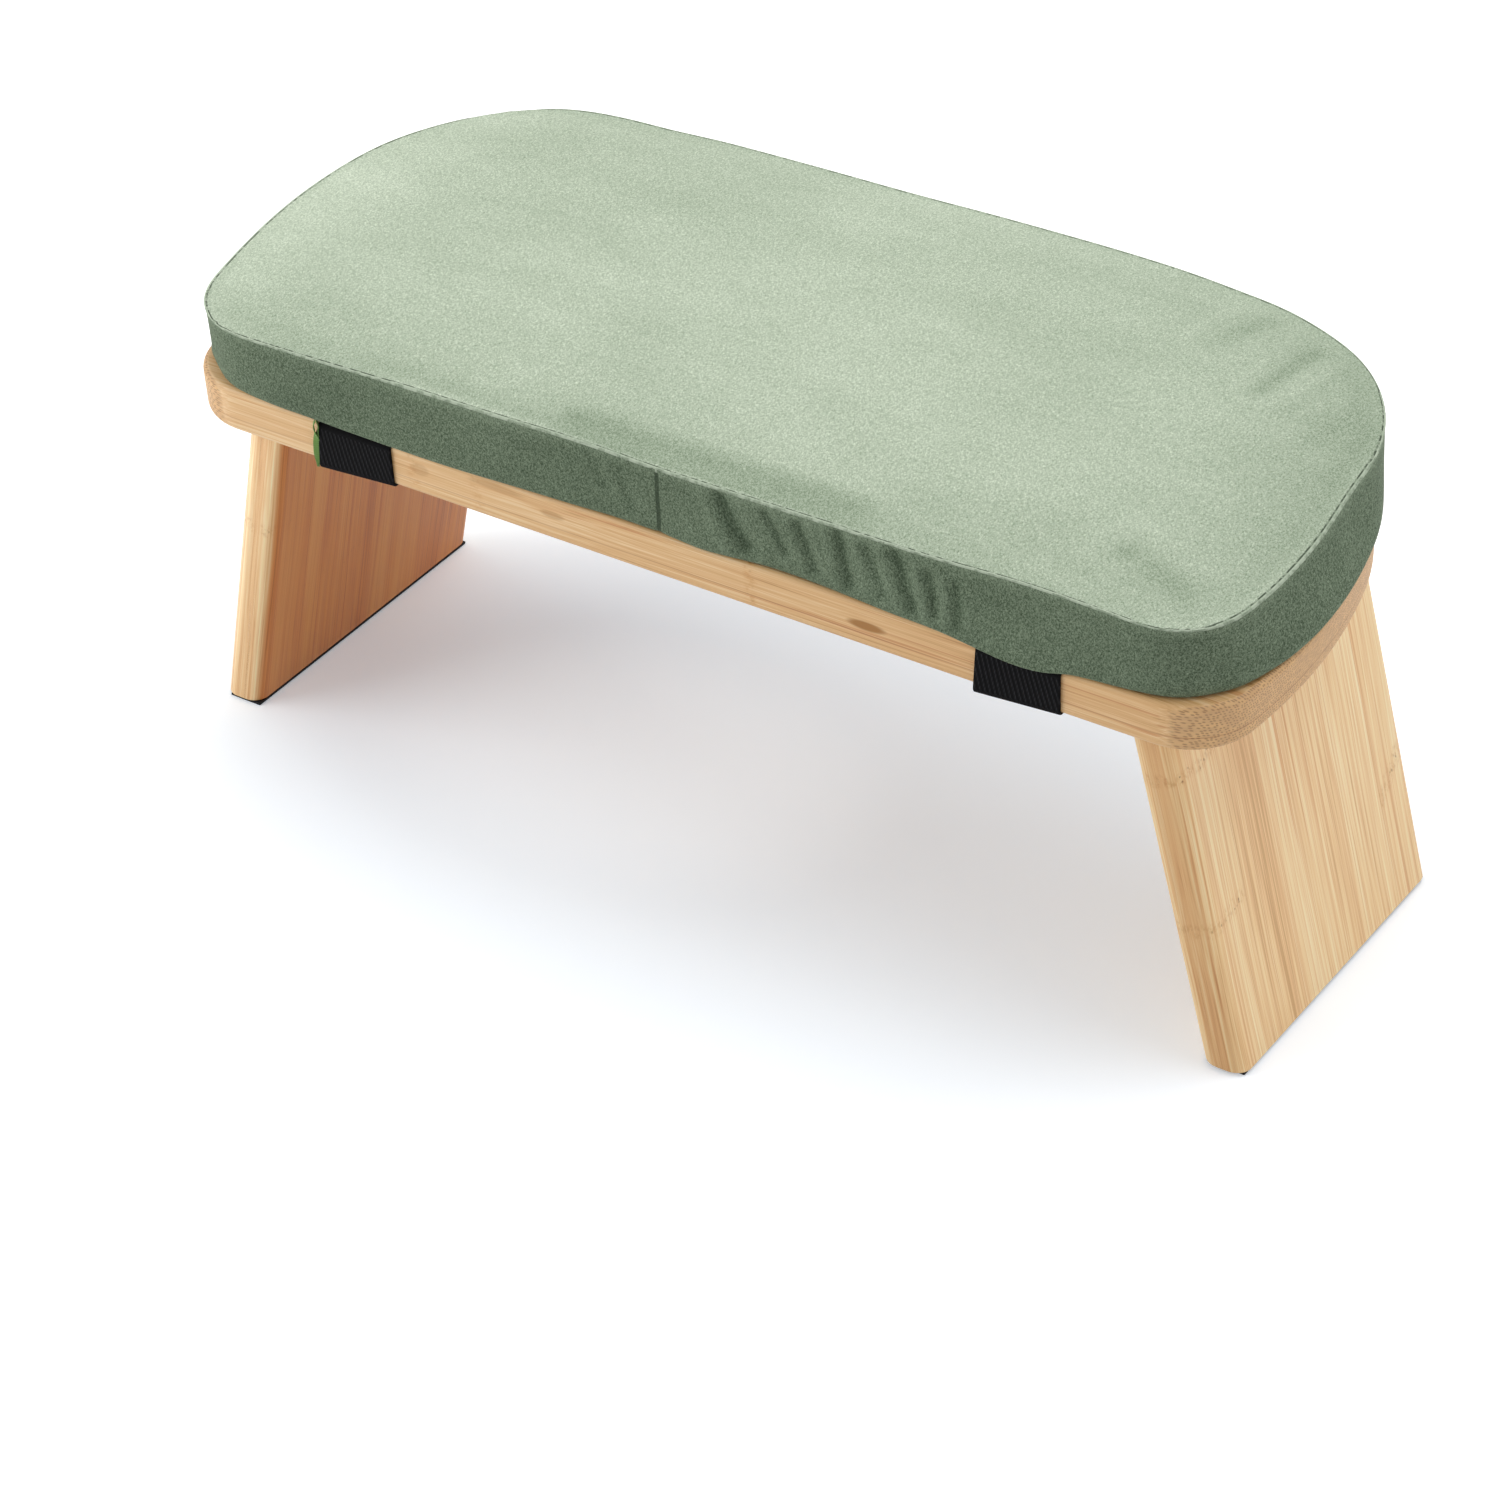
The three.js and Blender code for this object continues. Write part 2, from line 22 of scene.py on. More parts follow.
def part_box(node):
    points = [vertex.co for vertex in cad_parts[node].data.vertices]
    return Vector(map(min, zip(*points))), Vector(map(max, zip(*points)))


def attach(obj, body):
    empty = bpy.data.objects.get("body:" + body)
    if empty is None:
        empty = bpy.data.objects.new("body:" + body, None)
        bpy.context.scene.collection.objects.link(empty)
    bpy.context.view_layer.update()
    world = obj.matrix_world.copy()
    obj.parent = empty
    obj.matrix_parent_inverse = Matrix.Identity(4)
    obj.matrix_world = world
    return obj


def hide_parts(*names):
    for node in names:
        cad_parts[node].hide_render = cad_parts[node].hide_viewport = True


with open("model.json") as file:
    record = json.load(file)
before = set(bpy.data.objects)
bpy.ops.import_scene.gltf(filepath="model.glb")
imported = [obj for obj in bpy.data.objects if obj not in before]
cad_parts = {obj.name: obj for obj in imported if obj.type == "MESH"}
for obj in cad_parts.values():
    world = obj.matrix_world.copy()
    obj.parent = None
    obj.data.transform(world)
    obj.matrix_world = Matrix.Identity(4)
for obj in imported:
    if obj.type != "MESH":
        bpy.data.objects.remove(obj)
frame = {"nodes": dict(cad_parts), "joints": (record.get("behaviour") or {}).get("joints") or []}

log = logging.getLogger("bench")

TINY = 1e-6
QUARTER = math.pi / 2
UP = Vector((0, 0, 1))
BOARD_THICKNESS = 0.0192
BOARD_EDGE_RADIUS = 0.0026

Colour = tuple[float, float, float, float]
Test = Callable[[Vector, Vector], bool]

WHITE: Colour = (1.0, 1.0, 1.0, 1.0)
BLACK: Colour = (0.0, 0.0, 0.0, 1.0)


class Side(Enum):
    """A leg's side of the bench, as the sign of its X."""

    LEFT = -1
    RIGHT = 1

    @property
    def word(self) -> str:
        """The side's name in the names of pieces."""
        return self.name.lower()


class Element(Enum):
    """What an edit selects."""

    VERTEX = "verts"
    EDGE = "edges"
    FACE = "faces"


class Body(Enum):
    """The bodies that pieces ride on."""

    SEAT = "seat"
    LEFT_LEG = "left_leg"
    RIGHT_LEG = "right_leg"


def colour(code: str) -> Colour:
    """Turns a written colour into the shader's own scale.

    Args:
        code: six hexadecimal digits, as a colour looks on screen.

    Returns:
        Red, green, blue and a full alpha, in linear light.
    """
    values = [int(code[i:i + 2], 16) / 255 for i in (0, 2, 4)]
    linear = [v / 12.92 if v <= 0.04045 else ((v + 0.055) / 1.055) ** 2.4 for v in values]
    return (*linear, 1.0)


def palette(**codes: str) -> dict[str, Colour]:
    """Turns named colours, each written as six digits, into the shader's own scale."""
    return {name: colour(code) for name, code in codes.items()}


def give(target: object, values: dict[str, object]) -> None:
    """Gives a node, a modifier or its settings several values by name."""
    for name, value in values.items():
        setattr(target, name, value)


def smooth_step(value: float, low: float, high: float) -> float:
    """A soft step from 0 at low to 1 at high."""
    share = min(max((value - low) / (high - low), 0.0), 1.0)
    return share * share * (3 - 2 * share)


# Shader arithmetic


class Signal:
    """A value that a material works out: one socket, with arithmetic that adds Math nodes."""

    def __init__(self, recipe: "Recipe", socket: bpy.types.NodeSocket) -> None:
        """Wraps a socket of a recipe's node tree."""
        self.recipe = recipe
        self.socket = socket

    def maths(self, operation: str, *values: "Signal | float") -> "Signal":
        """One Math node on the values given."""
        return self.recipe.node("ShaderNodeMath", {"operation": operation}, dict(enumerate(values)))

    def __add__(self, other: "Signal | float") -> "Signal":
        """Sum."""
        return self.maths("ADD", self, other)

    __radd__ = __add__

    def __sub__(self, other: "Signal | float") -> "Signal":
        """Difference."""
        return self.maths("SUBTRACT", self, other)

    def __rsub__(self, other: float) -> "Signal":
        """Difference from a number."""
        return self.maths("SUBTRACT", other, self)

    def __mul__(self, other: "Signal | float") -> "Signal":
        """Product."""
        return self.maths("MULTIPLY", self, other)

    __rmul__ = __mul__

    def __truediv__(self, other: "Signal | float") -> "Signal":
        """Quotient."""
        return self.maths("DIVIDE", self, other)

    def __pow__(self, power: float) -> "Signal":
        """Power."""
        return self.maths("POWER", self, power)

    def __abs__(self) -> "Signal":
        """Size without sign."""
        return self.maths("ABSOLUTE", self)

    def floor(self) -> "Signal":
        """Whole part."""
        return self.maths("FLOOR", self)

    def wave(self) -> "Signal":
        """Sine."""
        return self.maths("SINE", self)

    def close_to(self, value: float, spread: float) -> "Signal":
        """1 within spread of value, 0 elsewhere."""
        return self.maths("COMPARE", self, value, spread)

    def ramp(self, low: float, high: float, smooth: bool = True) -> "Signal":
        """Goes from 0 at low to 1 at high, and stays there.

        Args:
            low: where it starts.
            high: where it ends; below low for a falling ramp.
            smooth: eased at both ends, or straight.

        Returns:
            The eased share.
        """
        if low > high:
            return 1.0 - self.ramp(high, low, smooth)
        settings = {"interpolation_type": "SMOOTHSTEP" if smooth else "LINEAR", "clamp": True}
        return self.recipe.node("ShaderNodeMapRange", settings, {0: self, 1: low, 2: high})


class Recipe:
    """The node tree of one finish, from its coordinates to its shader."""

    def __init__(self, tree: bpy.types.NodeTree) -> None:
        """Starts on a node tree."""
        self.tree = tree

    def node(
        self,
        kind: str,
        settings: dict[str, object] | None = None,
        sockets: dict[int | str, "Signal | float | Sequence[float]"] | None = None,
        output: int | str = 0,
    ) -> Signal:
        """Adds one node.

        Args:
            kind: the node's type.
            settings: its own properties.
            sockets: a value or a link for each input named.
            output: the output that is returned.

        Returns:
            The signal of that output.
        """
        made = self.tree.nodes.new(kind)
        give(made, settings or {})
        for name, value in (sockets or {}).items():
            if isinstance(value, Signal):
                self.tree.links.new(value.socket, made.inputs[name])
            else:
                made.inputs[name].default_value = value
        return Signal(self, made.outputs[output])

    def coordinates(self, place: Matrix) -> Signal:
        """Object coordinates, read in the frame of a matrix."""
        spot = self.node("ShaderNodeTexCoord", output="Object")
        settings = {"vector_type": "TEXTURE"}
        turn = tuple(place.to_euler())
        return self.node("ShaderNodeMapping", settings, {0: spot, 1: tuple(place.translation), 2: turn})

    def layer(self, name: str) -> Signal:
        """What the mesh carries point by point under a name."""
        return self.node("ShaderNodeAttribute", {"attribute_name": name}, output="Fac")

    def chart(self) -> Signal:
        """The place on the mesh's own map."""
        return self.node("ShaderNodeTexCoord", output="UV")

    def facing(self, direction: Vector) -> Signal:
        """How far the surface faces a direction: the cosine of the angle between them."""
        normal = self.node("ShaderNodeTexCoord", output="Normal")
        settings = {"operation": "DOT_PRODUCT"}
        return self.node("ShaderNodeVectorMath", settings, {0: normal, 1: tuple(direction)}, "Value")

    def split(self, vector: Signal) -> tuple[Signal, Signal, Signal]:
        """The three numbers of a vector."""
        first = self.node("ShaderNodeSeparateXYZ", sockets={0: vector})
        x, y, z = (Signal(self, out) for out in first.socket.node.outputs)
        return x, y, z

    def join(self, x: "Signal | float", y: "Signal | float", z: "Signal | float") -> Signal:
        """A vector of three numbers."""
        return self.node("ShaderNodeCombineXYZ", sockets={0: x, 1: y, 2: z})

    def stretch(self, vector: Signal, scale: Sequence[float]) -> Signal:
        """A vector scaled axis by axis."""
        settings = {"operation": "MULTIPLY"}
        return self.node("ShaderNodeVectorMath", settings, {0: vector, 1: tuple(scale)})

    def cloud(self, vector: Signal, scale: float = 1.0, detail: float = 2.0, rough: float = 0.5) -> Signal:
        """Smooth noise from 0 to 1."""
        sockets = {"Vector": vector, "Scale": scale, "Detail": detail, "Roughness": rough}
        return self.node("ShaderNodeTexNoise", {"noise_dimensions": "3D"}, sockets, 0)

    def chance(self, value: Signal) -> Signal:
        """A number from 0 to 1 that differs with each whole value."""
        return self.node("ShaderNodeTexWhiteNoise", {"noise_dimensions": "1D"}, {"W": value}, 0)

    def spots(self, vector: Signal, scale: float, scatter: float = 1.0, dimensions: str = "3D") -> Signal:
        """Distance from the nearest of scattered points, in spacings."""
        settings = {"feature": "F1", "voronoi_dimensions": dimensions}
        sockets = {"Vector": vector, "Scale": scale, "Randomness": scatter}
        return self.node("ShaderNodeTexVoronoi", settings, sockets, "Distance")

    def shade(self, share: Signal, stops: Sequence[tuple[float, Colour]]) -> Signal:
        """A colour ramp with its stops at places from 0 to 1."""
        ramp = self.node("ShaderNodeValToRGB", sockets={0: share})
        elements = ramp.socket.node.color_ramp.elements
        while len(elements) < len(stops):
            elements.new(1.0)
        for element, (place, shade) in zip(elements, stops):
            element.position = place
            element.color = shade
        return ramp

    def mix(
        self,
        share: "Signal | float",
        first: "Signal | Colour",
        second: "Signal | Colour",
        way: str = "MIX",
    ) -> Signal:
        """A mix of two colours.

        Args:
            share: how much of the second.
            first: the colour below.
            second: the colour above.
            way: how they blend.

        Returns:
            The mixed colour.
        """
        settings = {"data_type": "RGBA", "blend_type": way, "clamp_factor": True}
        return self.node("ShaderNodeMix", settings, {0: share, 6: first, 7: second}, 2)

    def relief(self, height: Signal, depth: float, strength: float = 1.0) -> Signal:
        """A bumped normal from a height from 0 to 1 that stands for a depth."""
        sockets = {"Strength": strength, "Distance": depth, "Height": height}
        return self.node("ShaderNodeBump", None, sockets)


class SurfaceRecipe(Recipe):
    """A recipe that ends in one Principled shader."""

    def __init__(self, name: str, **constants: float | Colour) -> None:
        """Starts a material, with the shader's constants named with underscores for spaces."""
        self.material = bpy.data.materials.new(name)
        self.material.use_nodes = True
        super().__init__(self.material.node_tree)
        self.shader = self.tree.nodes["Principled BSDF"]
        for name_, value in constants.items():
            self.shader.inputs[name_.replace("_", " ")].default_value = value

    def finished(self, **signals: Signal) -> bpy.types.Material:
        """Links signals to the shader and hands over the material."""
        for name, signal in signals.items():
            self.tree.links.new(signal.socket, self.shader.inputs[name.replace("_", " ")])
        return self.material


# Finishes


@dataclass(frozen=True)
class CulmMark:
    """Where a joint of the bamboo's culm crosses a strip.

    It has the strip's number, its place along the grain, its slant across the strip and its strength.
    """

    strip: int
    along: float
    slant: float = 0.0
    strength: float = 1.0
    half_length: float = 0.0060


@dataclass(frozen=True)
class Knot:
    """A dark oval on the front edge: along the grain, up the edge, and its half sizes."""

    along: float
    level: float
    half_length: float
    half_height: float
    strength: float


@dataclass(frozen=True)
class Bamboo:
    """Pressed bamboo: strips side by side, with long fibres, culm joints and dotted end grain.

    The grain's frame has X along the fibres, Y across the strips and Z through the panel.
    """

    name: str
    streak: Colour
    tan: Colour
    straw: Colour
    cream: Colour
    vein: Colour
    knot: Colour
    end_wood: Colour
    end_dot: Colour
    first_strip: float
    strip_width: float
    seed: float
    glue_levels: tuple[float, ...] = ()
    marks: tuple[CulmMark, ...] = ()
    knots: tuple[Knot, ...] = ()
    inner_side: int = 0
    inner_tint: Colour = WHITE
    edge_tint: Colour = WHITE
    tick: Colour = colour("C08038")
    pore: Colour = colour("8A5018")

    # Features per metre: along the grain and across it, and then the same both ways
    fibre_counts: tuple[float, float] = (11.0, 1000.0)
    hair_counts: tuple[float, float] = (19.0, 2200.0)
    streak_counts: tuple[float, float] = (2.4, 70.0)
    vein_counts: tuple[float, float] = (3.2, 460.0)
    dots_per_metre: float = 860.0
    pores_per_metre: float = 560.0

    # How far fibres wander across the grain, and the jumps in the noise from strip to strip and to the veins
    wander: float = 0.005
    strip_jump: float = 0.37
    vein_jump: float = 0.11

    # The cosines between which a face turns into end grain, into a narrow face and into the inner face
    end_cosines: tuple[float, float] = (0.16, 0.30)
    edge_cosines: tuple[float, float] = (0.75, 0.45)
    inner_cosines: tuple[float, float] = (0.55, 0.9)

    # The tone of the wood: its middle, and how far each feature moves it
    middle_tone: float = 0.54
    fibre_gain: float = 1.20
    hair_gain: float = 1.00
    streak_gain: float = 0.70
    inner_streak_gain: float = 1.4
    strip_gain: float = 0.26

    # How strongly the glue between layers and between strips shows
    glue_strength: float = 0.45
    seam_strength: float = 0.30

    def material(self, grain: Matrix) -> bpy.types.Material:
        """Mixes the material.

        Args:
            grain: the grain's frame.

        Returns:
            The material.
        """
        mix = SurfaceRecipe(self.name, IOR=1.5, Coat_Weight=0.10, Coat_Roughness=0.28)
        spot = mix.coordinates(grain)
        along, across, through = mix.split(spot)
        sway = mix.cloud(mix.stretch(spot, (5.0, 16.0, 16.0)), detail=1.0)
        bent = across + (sway - 0.5) * self.wander
        strips = (across - self.first_strip) / self.strip_width
        row = strips.floor()
        tone = mix.chance(row + self.seed)
        deep = through + row * self.strip_jump
        fibre = self._stretched(mix, along, bent, deep, self.fibre_counts)
        hair = self._stretched(mix, along, bent, deep, self.hair_counts)
        streak = self._stretched(mix, along, bent, deep, self.streak_counts)
        vein = self._stretched(mix, along, bent, deep + self.vein_jump, self.vein_counts).ramp(0.60, 0.66)

        flat = grain.to_3x3() @ UP
        end = abs(mix.facing(grain.to_3x3() @ Vector((1, 0, 0)))).ramp(*self.end_cosines)
        edge_on = abs(mix.facing(flat)).ramp(*self.edge_cosines)
        inner: Signal | float = 0.0
        if self.inner_side:
            inner = mix.facing(flat * self.inner_side).ramp(*self.inner_cosines)

        value = (
            self.middle_tone
            + (fibre - 0.5) * self.fibre_gain
            + (hair - 0.5) * self.hair_gain
            + (streak - 0.5) * (inner * self.inner_streak_gain + self.streak_gain)
            + (tone - 0.5) * self.strip_gain
        )
        stops = [(0.14, self.streak), (0.36, self.tan), (0.60, self.straw), (0.90, self.cream)]
        wood = mix.shade(value, stops)
        wood = mix.mix(vein * (0.25 + tone * 0.35), wood, self.vein, "MULTIPLY")
        wood = self._culm_marks(mix, wood, row, spot, end + inner * 0.8, edge_on)
        wood = self._knots(mix, wood, spot, end)
        wood = self._end_grain(mix, wood, spot, end)
        # painted light and shade on the narrow faces: the left leg's are coloured lighter, the right leg's
        # darker
        wood = mix.mix(edge_on, wood, self.edge_tint, "MULTIPLY")
        for level in self.glue_levels:
            line = abs(through - level).ramp(0.0004, 0.0001) * edge_on
            wood = mix.mix(line * self.glue_strength, wood, self.streak, "MULTIPLY")
        seam = abs(strips - row - 0.5).ramp(0.488, 0.5) * (1.0 - end)
        wood = mix.mix(seam * self.seam_strength, wood, self.streak, "MULTIPLY")
        # the left leg's inner face under the seat: partly a darker caramel ply, partly painted shade with
        # warm bounced light
        if self.inner_side:
            wood = mix.mix(inner, wood, self.inner_tint, "MULTIPLY")

        gloss = 0.46 + (fibre - 0.5) * 0.22 + end * 0.16
        height = fibre * 0.6 + hair * 0.4
        return mix.finished(Base_Color=wood, Roughness=gloss, Normal=mix.relief(height, 0.00022, 0.55))

    @staticmethod
    def _stretched(
        mix: Recipe, along: Signal, across: Signal, through: Signal, counts: tuple[float, float]
    ) -> Signal:
        """Noise drawn out along the fibres, with so many features per metre along and across."""
        slow, fine = counts
        return mix.cloud(mix.join(along * slow, across * fine, through * fine), detail=2.0, rough=0.55)

    def _culm_marks(
        self, mix: Recipe, wood: Signal, row: Signal, spot: Signal, hidden: Signal, edge_on: Signal
    ) -> Signal:
        """Where culm joints cross the strips: brown ticks, and a line of small dark pores.

        Args:
            mix: the recipe.
            wood: the colour so far.
            row: the strip's number.
            spot: the place in the grain's frame.
            hidden: how far the marks are left out here.
            edge_on: 1 on the narrow faces, which show few pores.

        Returns:
            The colour with the marks.
        """
        if not self.marks:
            return wood
        along, across, _ = mix.split(spot)
        sway = mix.cloud(mix.stretch(spot, (25.0, 140.0, 140.0)), detail=2.0)
        swayed = along + (sway - 0.5) * 0.007
        band: Signal | float = 0.0
        core: Signal | float = 0.0
        for mark in self.marks:
            middle = self.first_strip + (mark.strip + 0.5) * self.strip_width
            inside = row.close_to(float(mark.strip), 0.1) * mark.strength
            off = abs(swayed - mark.along - (across - middle) * mark.slant)
            band = inside * off.ramp(mark.half_length, mark.half_length * 0.25) + band
            core = inside * off.ramp(0.0019, 0.0009) + core
        shown = 1.0 - hidden
        ticks = mix.cloud(mix.stretch(spot, (380.0, 700.0, 700.0)), detail=2.0, rough=0.6)
        pores = mix.spots(mix.stretch(spot, (0.6, 1.0, 1.0)), self.pores_per_metre, 0.8).ramp(0.30, 0.16)
        wood = mix.mix(band * shown * (0.05 + ticks.ramp(0.45, 0.68) * 0.42), wood, self.tick)
        return mix.mix(core * shown * pores * (0.85 - edge_on * 0.65), wood, self.pore)

    def _knots(self, mix: Recipe, wood: Signal, spot: Signal, end: Signal) -> Signal:
        """Dark ovals drawn out along the front edge."""
        along, _, level = mix.split(spot)
        for knot in self.knots:
            length = (along - knot.along) / knot.half_length
            height = (level - knot.level) / knot.half_height
            oval = (length * length + height * height).ramp(1.0, 0.25) * (1.0 - end)
            wood = mix.mix(oval * knot.strength, wood, self.knot)
        return wood

    def _end_grain(self, mix: Recipe, wood: Signal, spot: Signal, end: Signal) -> Signal:
        """Cut fibres: rows of brown dots in a paler ground."""
        _, across, through = mix.split(spot)
        flat = mix.join(across + through * 0.35, through, 0.0)
        dots = mix.spots(flat, self.dots_per_metre, 0.50, "2D").ramp(0.40, 0.16)
        patch = mix.cloud(mix.stretch(spot, (30.0, 240.0, 520.0)), detail=2.0)
        ground = mix.mix(patch.ramp(0.30, 0.75), self.end_wood, self.straw)
        cut = mix.mix(dots * (0.35 + patch * 0.4), ground, self.end_dot)
        return mix.mix(end, wood, cut)


@dataclass(frozen=True)
class Velvet:
    """Short-piled velvet, with painted light and shade: its colour is pale where the cloth faces up and deep
    on the sides.
    """

    name: str
    shadow: Colour
    deep: Colour
    middle: Colour
    pale: Colour
    bright: Colour
    # the colours of the painted shade and the painted highlight along the seams
    seam: Colour
    stitch: Colour
    flecks_per_metre: float = 1300.0
    grit_per_metre: float = 2600.0
    # the direction of a painted side light: faces turned towards it are coloured paler
    nap: tuple[float, float, float] = (-0.70, 0.60, 0.0)
    rim_levels: tuple[float, float] = (0.0425, 0.0478)

    # Each part of the tone: painted light from above, painted light from one side, the pile's own mottling,
    # a painted highlight on the band's upper rim and painted shade in the folds
    open_share: float = 0.565
    side_share: float = 0.22
    cloud_gain: float = 0.12
    brush_gain: float = 0.14
    pile_gain: float = 0.50
    nap_gain: float = 0.80
    rim_gain: float = 0.08
    fold_gain: float = 0.16

    # The top's colour darkens away from a line across it, more at the rear, and again towards its rear edge,
    # as a painted falloff of the light
    pale_line: float = -0.02
    side_fall: float = 0.7
    rear_side_fall: float = 1.1
    rear_fall: float = 0.075

    # Levels above which a seam is the top one, and the joint's place, foot level and slant
    bead_levels: tuple[float, float] = (0.0462, 0.0470)
    joint: tuple[float, float, float] = (0.0008, 0.026, 0.068)

    def material(self, place: Matrix) -> bpy.types.Material:
        """Mixes the material in the seat's frame."""
        mix = SurfaceRecipe(
            self.name,
            Roughness=0.92,
            Sheen_Weight=0.16,
            Sheen_Roughness=0.35,
            Sheen_Tint=colour("DCE8D2"),
            Specular_IOR_Level=0.18,
        )
        spot = mix.coordinates(place)
        across, back, level = mix.split(spot)
        # painted light from above: the more the cloth faces up, the paler its colour
        facing_up = mix.facing(place.to_3x3() @ UP).ramp(0.10, 1.0, False) ** 2.2
        # painted light from one side: faces turned towards this direction are paler, faces turned away
        # darker
        toward_painted_light = mix.facing(place.to_3x3() @ Vector(self.nap))
        slow = mix.cloud(spot, 12.0, 3.0, 0.55)
        brushed = mix.cloud(mix.stretch(spot, (18.0, 45.0, 60.0)), 1.0, 3.0)
        slanting = {0: spot, 2: (0.3, 0.4, 0.75), 3: (1.0, 0.7, 0.8)}
        slant = mix.node("ShaderNodeMapping", {"vector_type": "POINT"}, slanting)
        fleck = mix.cloud(slant, self.flecks_per_metre, 1.0, 0.6)
        grit = mix.cloud(slant, self.grit_per_metre, 1.0, 0.6)
        pile = (fleck - 0.5) * 1.1 + (grit - 0.5) * 0.9

        cloudy = (slow - 0.5) * self.cloud_gain + (brushed - 0.5) * self.brush_gain
        # painted highlight: the band's upper edge, just under the top seam, is coloured paler
        rim = level.ramp(*self.rim_levels) * (1.0 - facing_up)
        # painted shade and light in the folds: valleys are coloured darker, ridges paler
        fold = mix.layer(Cushion.FOLD_LAYER)
        # the painted light and shade: from one side, on the band's upper rim and in the folds
        painted_light = toward_painted_light * facing_up * self.nap_gain + rim * self.rim_gain + fold * self.fold_gain
        # painted falloff of the light across the top
        off = across - self.pale_line
        sideways = off * off * (back.ramp(-0.06, 0.04) * self.rear_side_fall + self.side_fall)
        outer = sideways + back.ramp(0.0, 0.10) * self.rear_fall
        share = (facing_up * self.open_share + self.side_share + cloudy + pile * self.pile_gain
                 + painted_light - outer * facing_up)
        shades = (self.shadow, self.deep, self.middle, self.pale, self.bright)
        stops = list(zip((0.0, 0.22, 0.50, 0.78, 1.0), shades))
        body = self._stitched(mix, mix.shade(share, stops), spot, facing_up)
        height = fleck * 0.65 + grit * 0.35
        return mix.finished(Base_Color=body, Normal=mix.relief(height, 0.0005, 0.55))

    def _stitched(self, mix: Recipe, body: Signal, spot: Signal, facing_up: Signal) -> Signal:
        """Paints the seams: a broken dark line above a pale bead on the top seam, the line partly stitches
        and partly painted shade, the bead a painted highlight; a dark line of painted shade at the joint,
        with a painted highlight on its one flank.

        Args:
            mix: the recipe.
            body: the colour so far.
            spot: the place in the seat's frame.
            facing_up: how far the cloth faces up.

        Returns:
            The colour with the seams.
        """
        across, _, level = mix.split(spot)
        line = mix.layer(Cushion.SEAM_LAYER)
        broken = mix.cloud(spot, 330.0, 2.0)
        upper = level.ramp(*self.bead_levels)
        place, foot, slant = self.joint
        beside = (across - (level - foot) * slant - place).ramp(-0.0002, 0.0003)
        shaded = line.ramp(0.12, 0.35) * line.ramp(0.80, 0.60) * upper * facing_up.ramp(0.15, 0.35)
        # the top seam's broken dark line: partly stitches, partly painted shade
        body = mix.mix(shaded * (0.25 + broken.ramp(0.42, 0.56) * 0.60), body, self.seam)
        # painted shade in the joint's groove
        body = mix.mix(line.ramp(0.50, 0.75) * (1.0 - upper) * 0.75, body, self.seam)
        # painted highlight on the top seam's bead and on one flank of the joint
        pale = line.ramp(0.60, 0.85) * upper * (0.30 + broken.ramp(0.40, 0.60) * 0.45)
        pale = line.ramp(0.10, 0.30) * line.ramp(0.75, 0.50) * (1.0 - upper) * beside * 0.45 + pale
        return mix.mix(pale, body, self.stitch)


@dataclass(frozen=True)
class TwoTone:
    """A finish that runs between two colours."""

    name: str
    light: Colour
    dark: Colour

    def between(
        self,
        mix: SurfaceRecipe,
        share: Signal,
        height: Signal,
        depth: float,
        rough: Signal,
        strength: float = 1.0,
    ) -> bpy.types.Material:
        """Ends the recipe.

        Args:
            mix: the recipe.
            share: how far the colour is from dark to light.
            height: the relief, from 0 to 1.
            depth: what the relief stands for.
            rough: the roughness.
            strength: how strongly the relief shows.

        Returns:
            The material.
        """
        shade = mix.mix(share, self.dark, self.light)
        normal = mix.relief(height, depth, strength)
        return mix.finished(Base_Color=shade, Roughness=rough, Normal=normal)


@dataclass(frozen=True)
class Elastic(TwoTone):
    """Black twill elastic: slanting ribs, with pin-sized glints painted lighter into its colour."""

    ribs_per_metre: float = 714.0
    slant_share: float = 0.71

    def material(self, length: float, width: float) -> bpy.types.Material:
        """Mixes the material for a strap of this length and width, on its own map."""
        mix = SurfaceRecipe(self.name, Specular_IOR_Level=0.10)
        spot = mix.stretch(mix.chart(), (width, length, 1.0))
        across, along, _ = mix.split(spot)
        turn = math.tau * self.ribs_per_metre * self.slant_share
        rib = ((across - along) * turn).wave() * 0.5 + 0.5
        yarn = ((across + along) * turn * 2.0).wave() * 0.5 + 0.5
        fuzz = mix.cloud(spot, 1500.0, 2.0)
        knob = rib * (0.6 + yarn * 0.4)
        # painted highlight: the ribs' knobs are coloured lighter as glints
        painted_glints = (knob * (0.5 + fuzz)).ramp(0.35, 1.1)
        return self.between(mix, painted_glints, knob * 0.8 + fuzz * 0.2, 0.0003, 0.9 - knob * 0.2)


@dataclass(frozen=True)
class Ribbon(TwoTone):
    """Narrow satin ribbon with fine ribs along it."""

    ribs: float = 9.0

    def material(self) -> bpy.types.Material:
        """Mixes the material on the ribbon's own map."""
        mix = SurfaceRecipe(self.name, Specular_IOR_Level=0.45, Sheen_Weight=0.1)
        chart = mix.chart()
        across, along, _ = mix.split(chart)
        rib = (across * (self.ribs * math.tau)).wave() * 0.5 + 0.5
        cross = (along * (self.ribs * 30.0)).wave() * 0.5 + 0.5
        cloud = mix.cloud(chart, 6.0, 2.0)
        height = rib * 0.6 + cross * 0.4
        return self.between(mix, cloud * 0.6 + rib * 0.3, height, 0.00012, 0.42 + cross * 0.15)


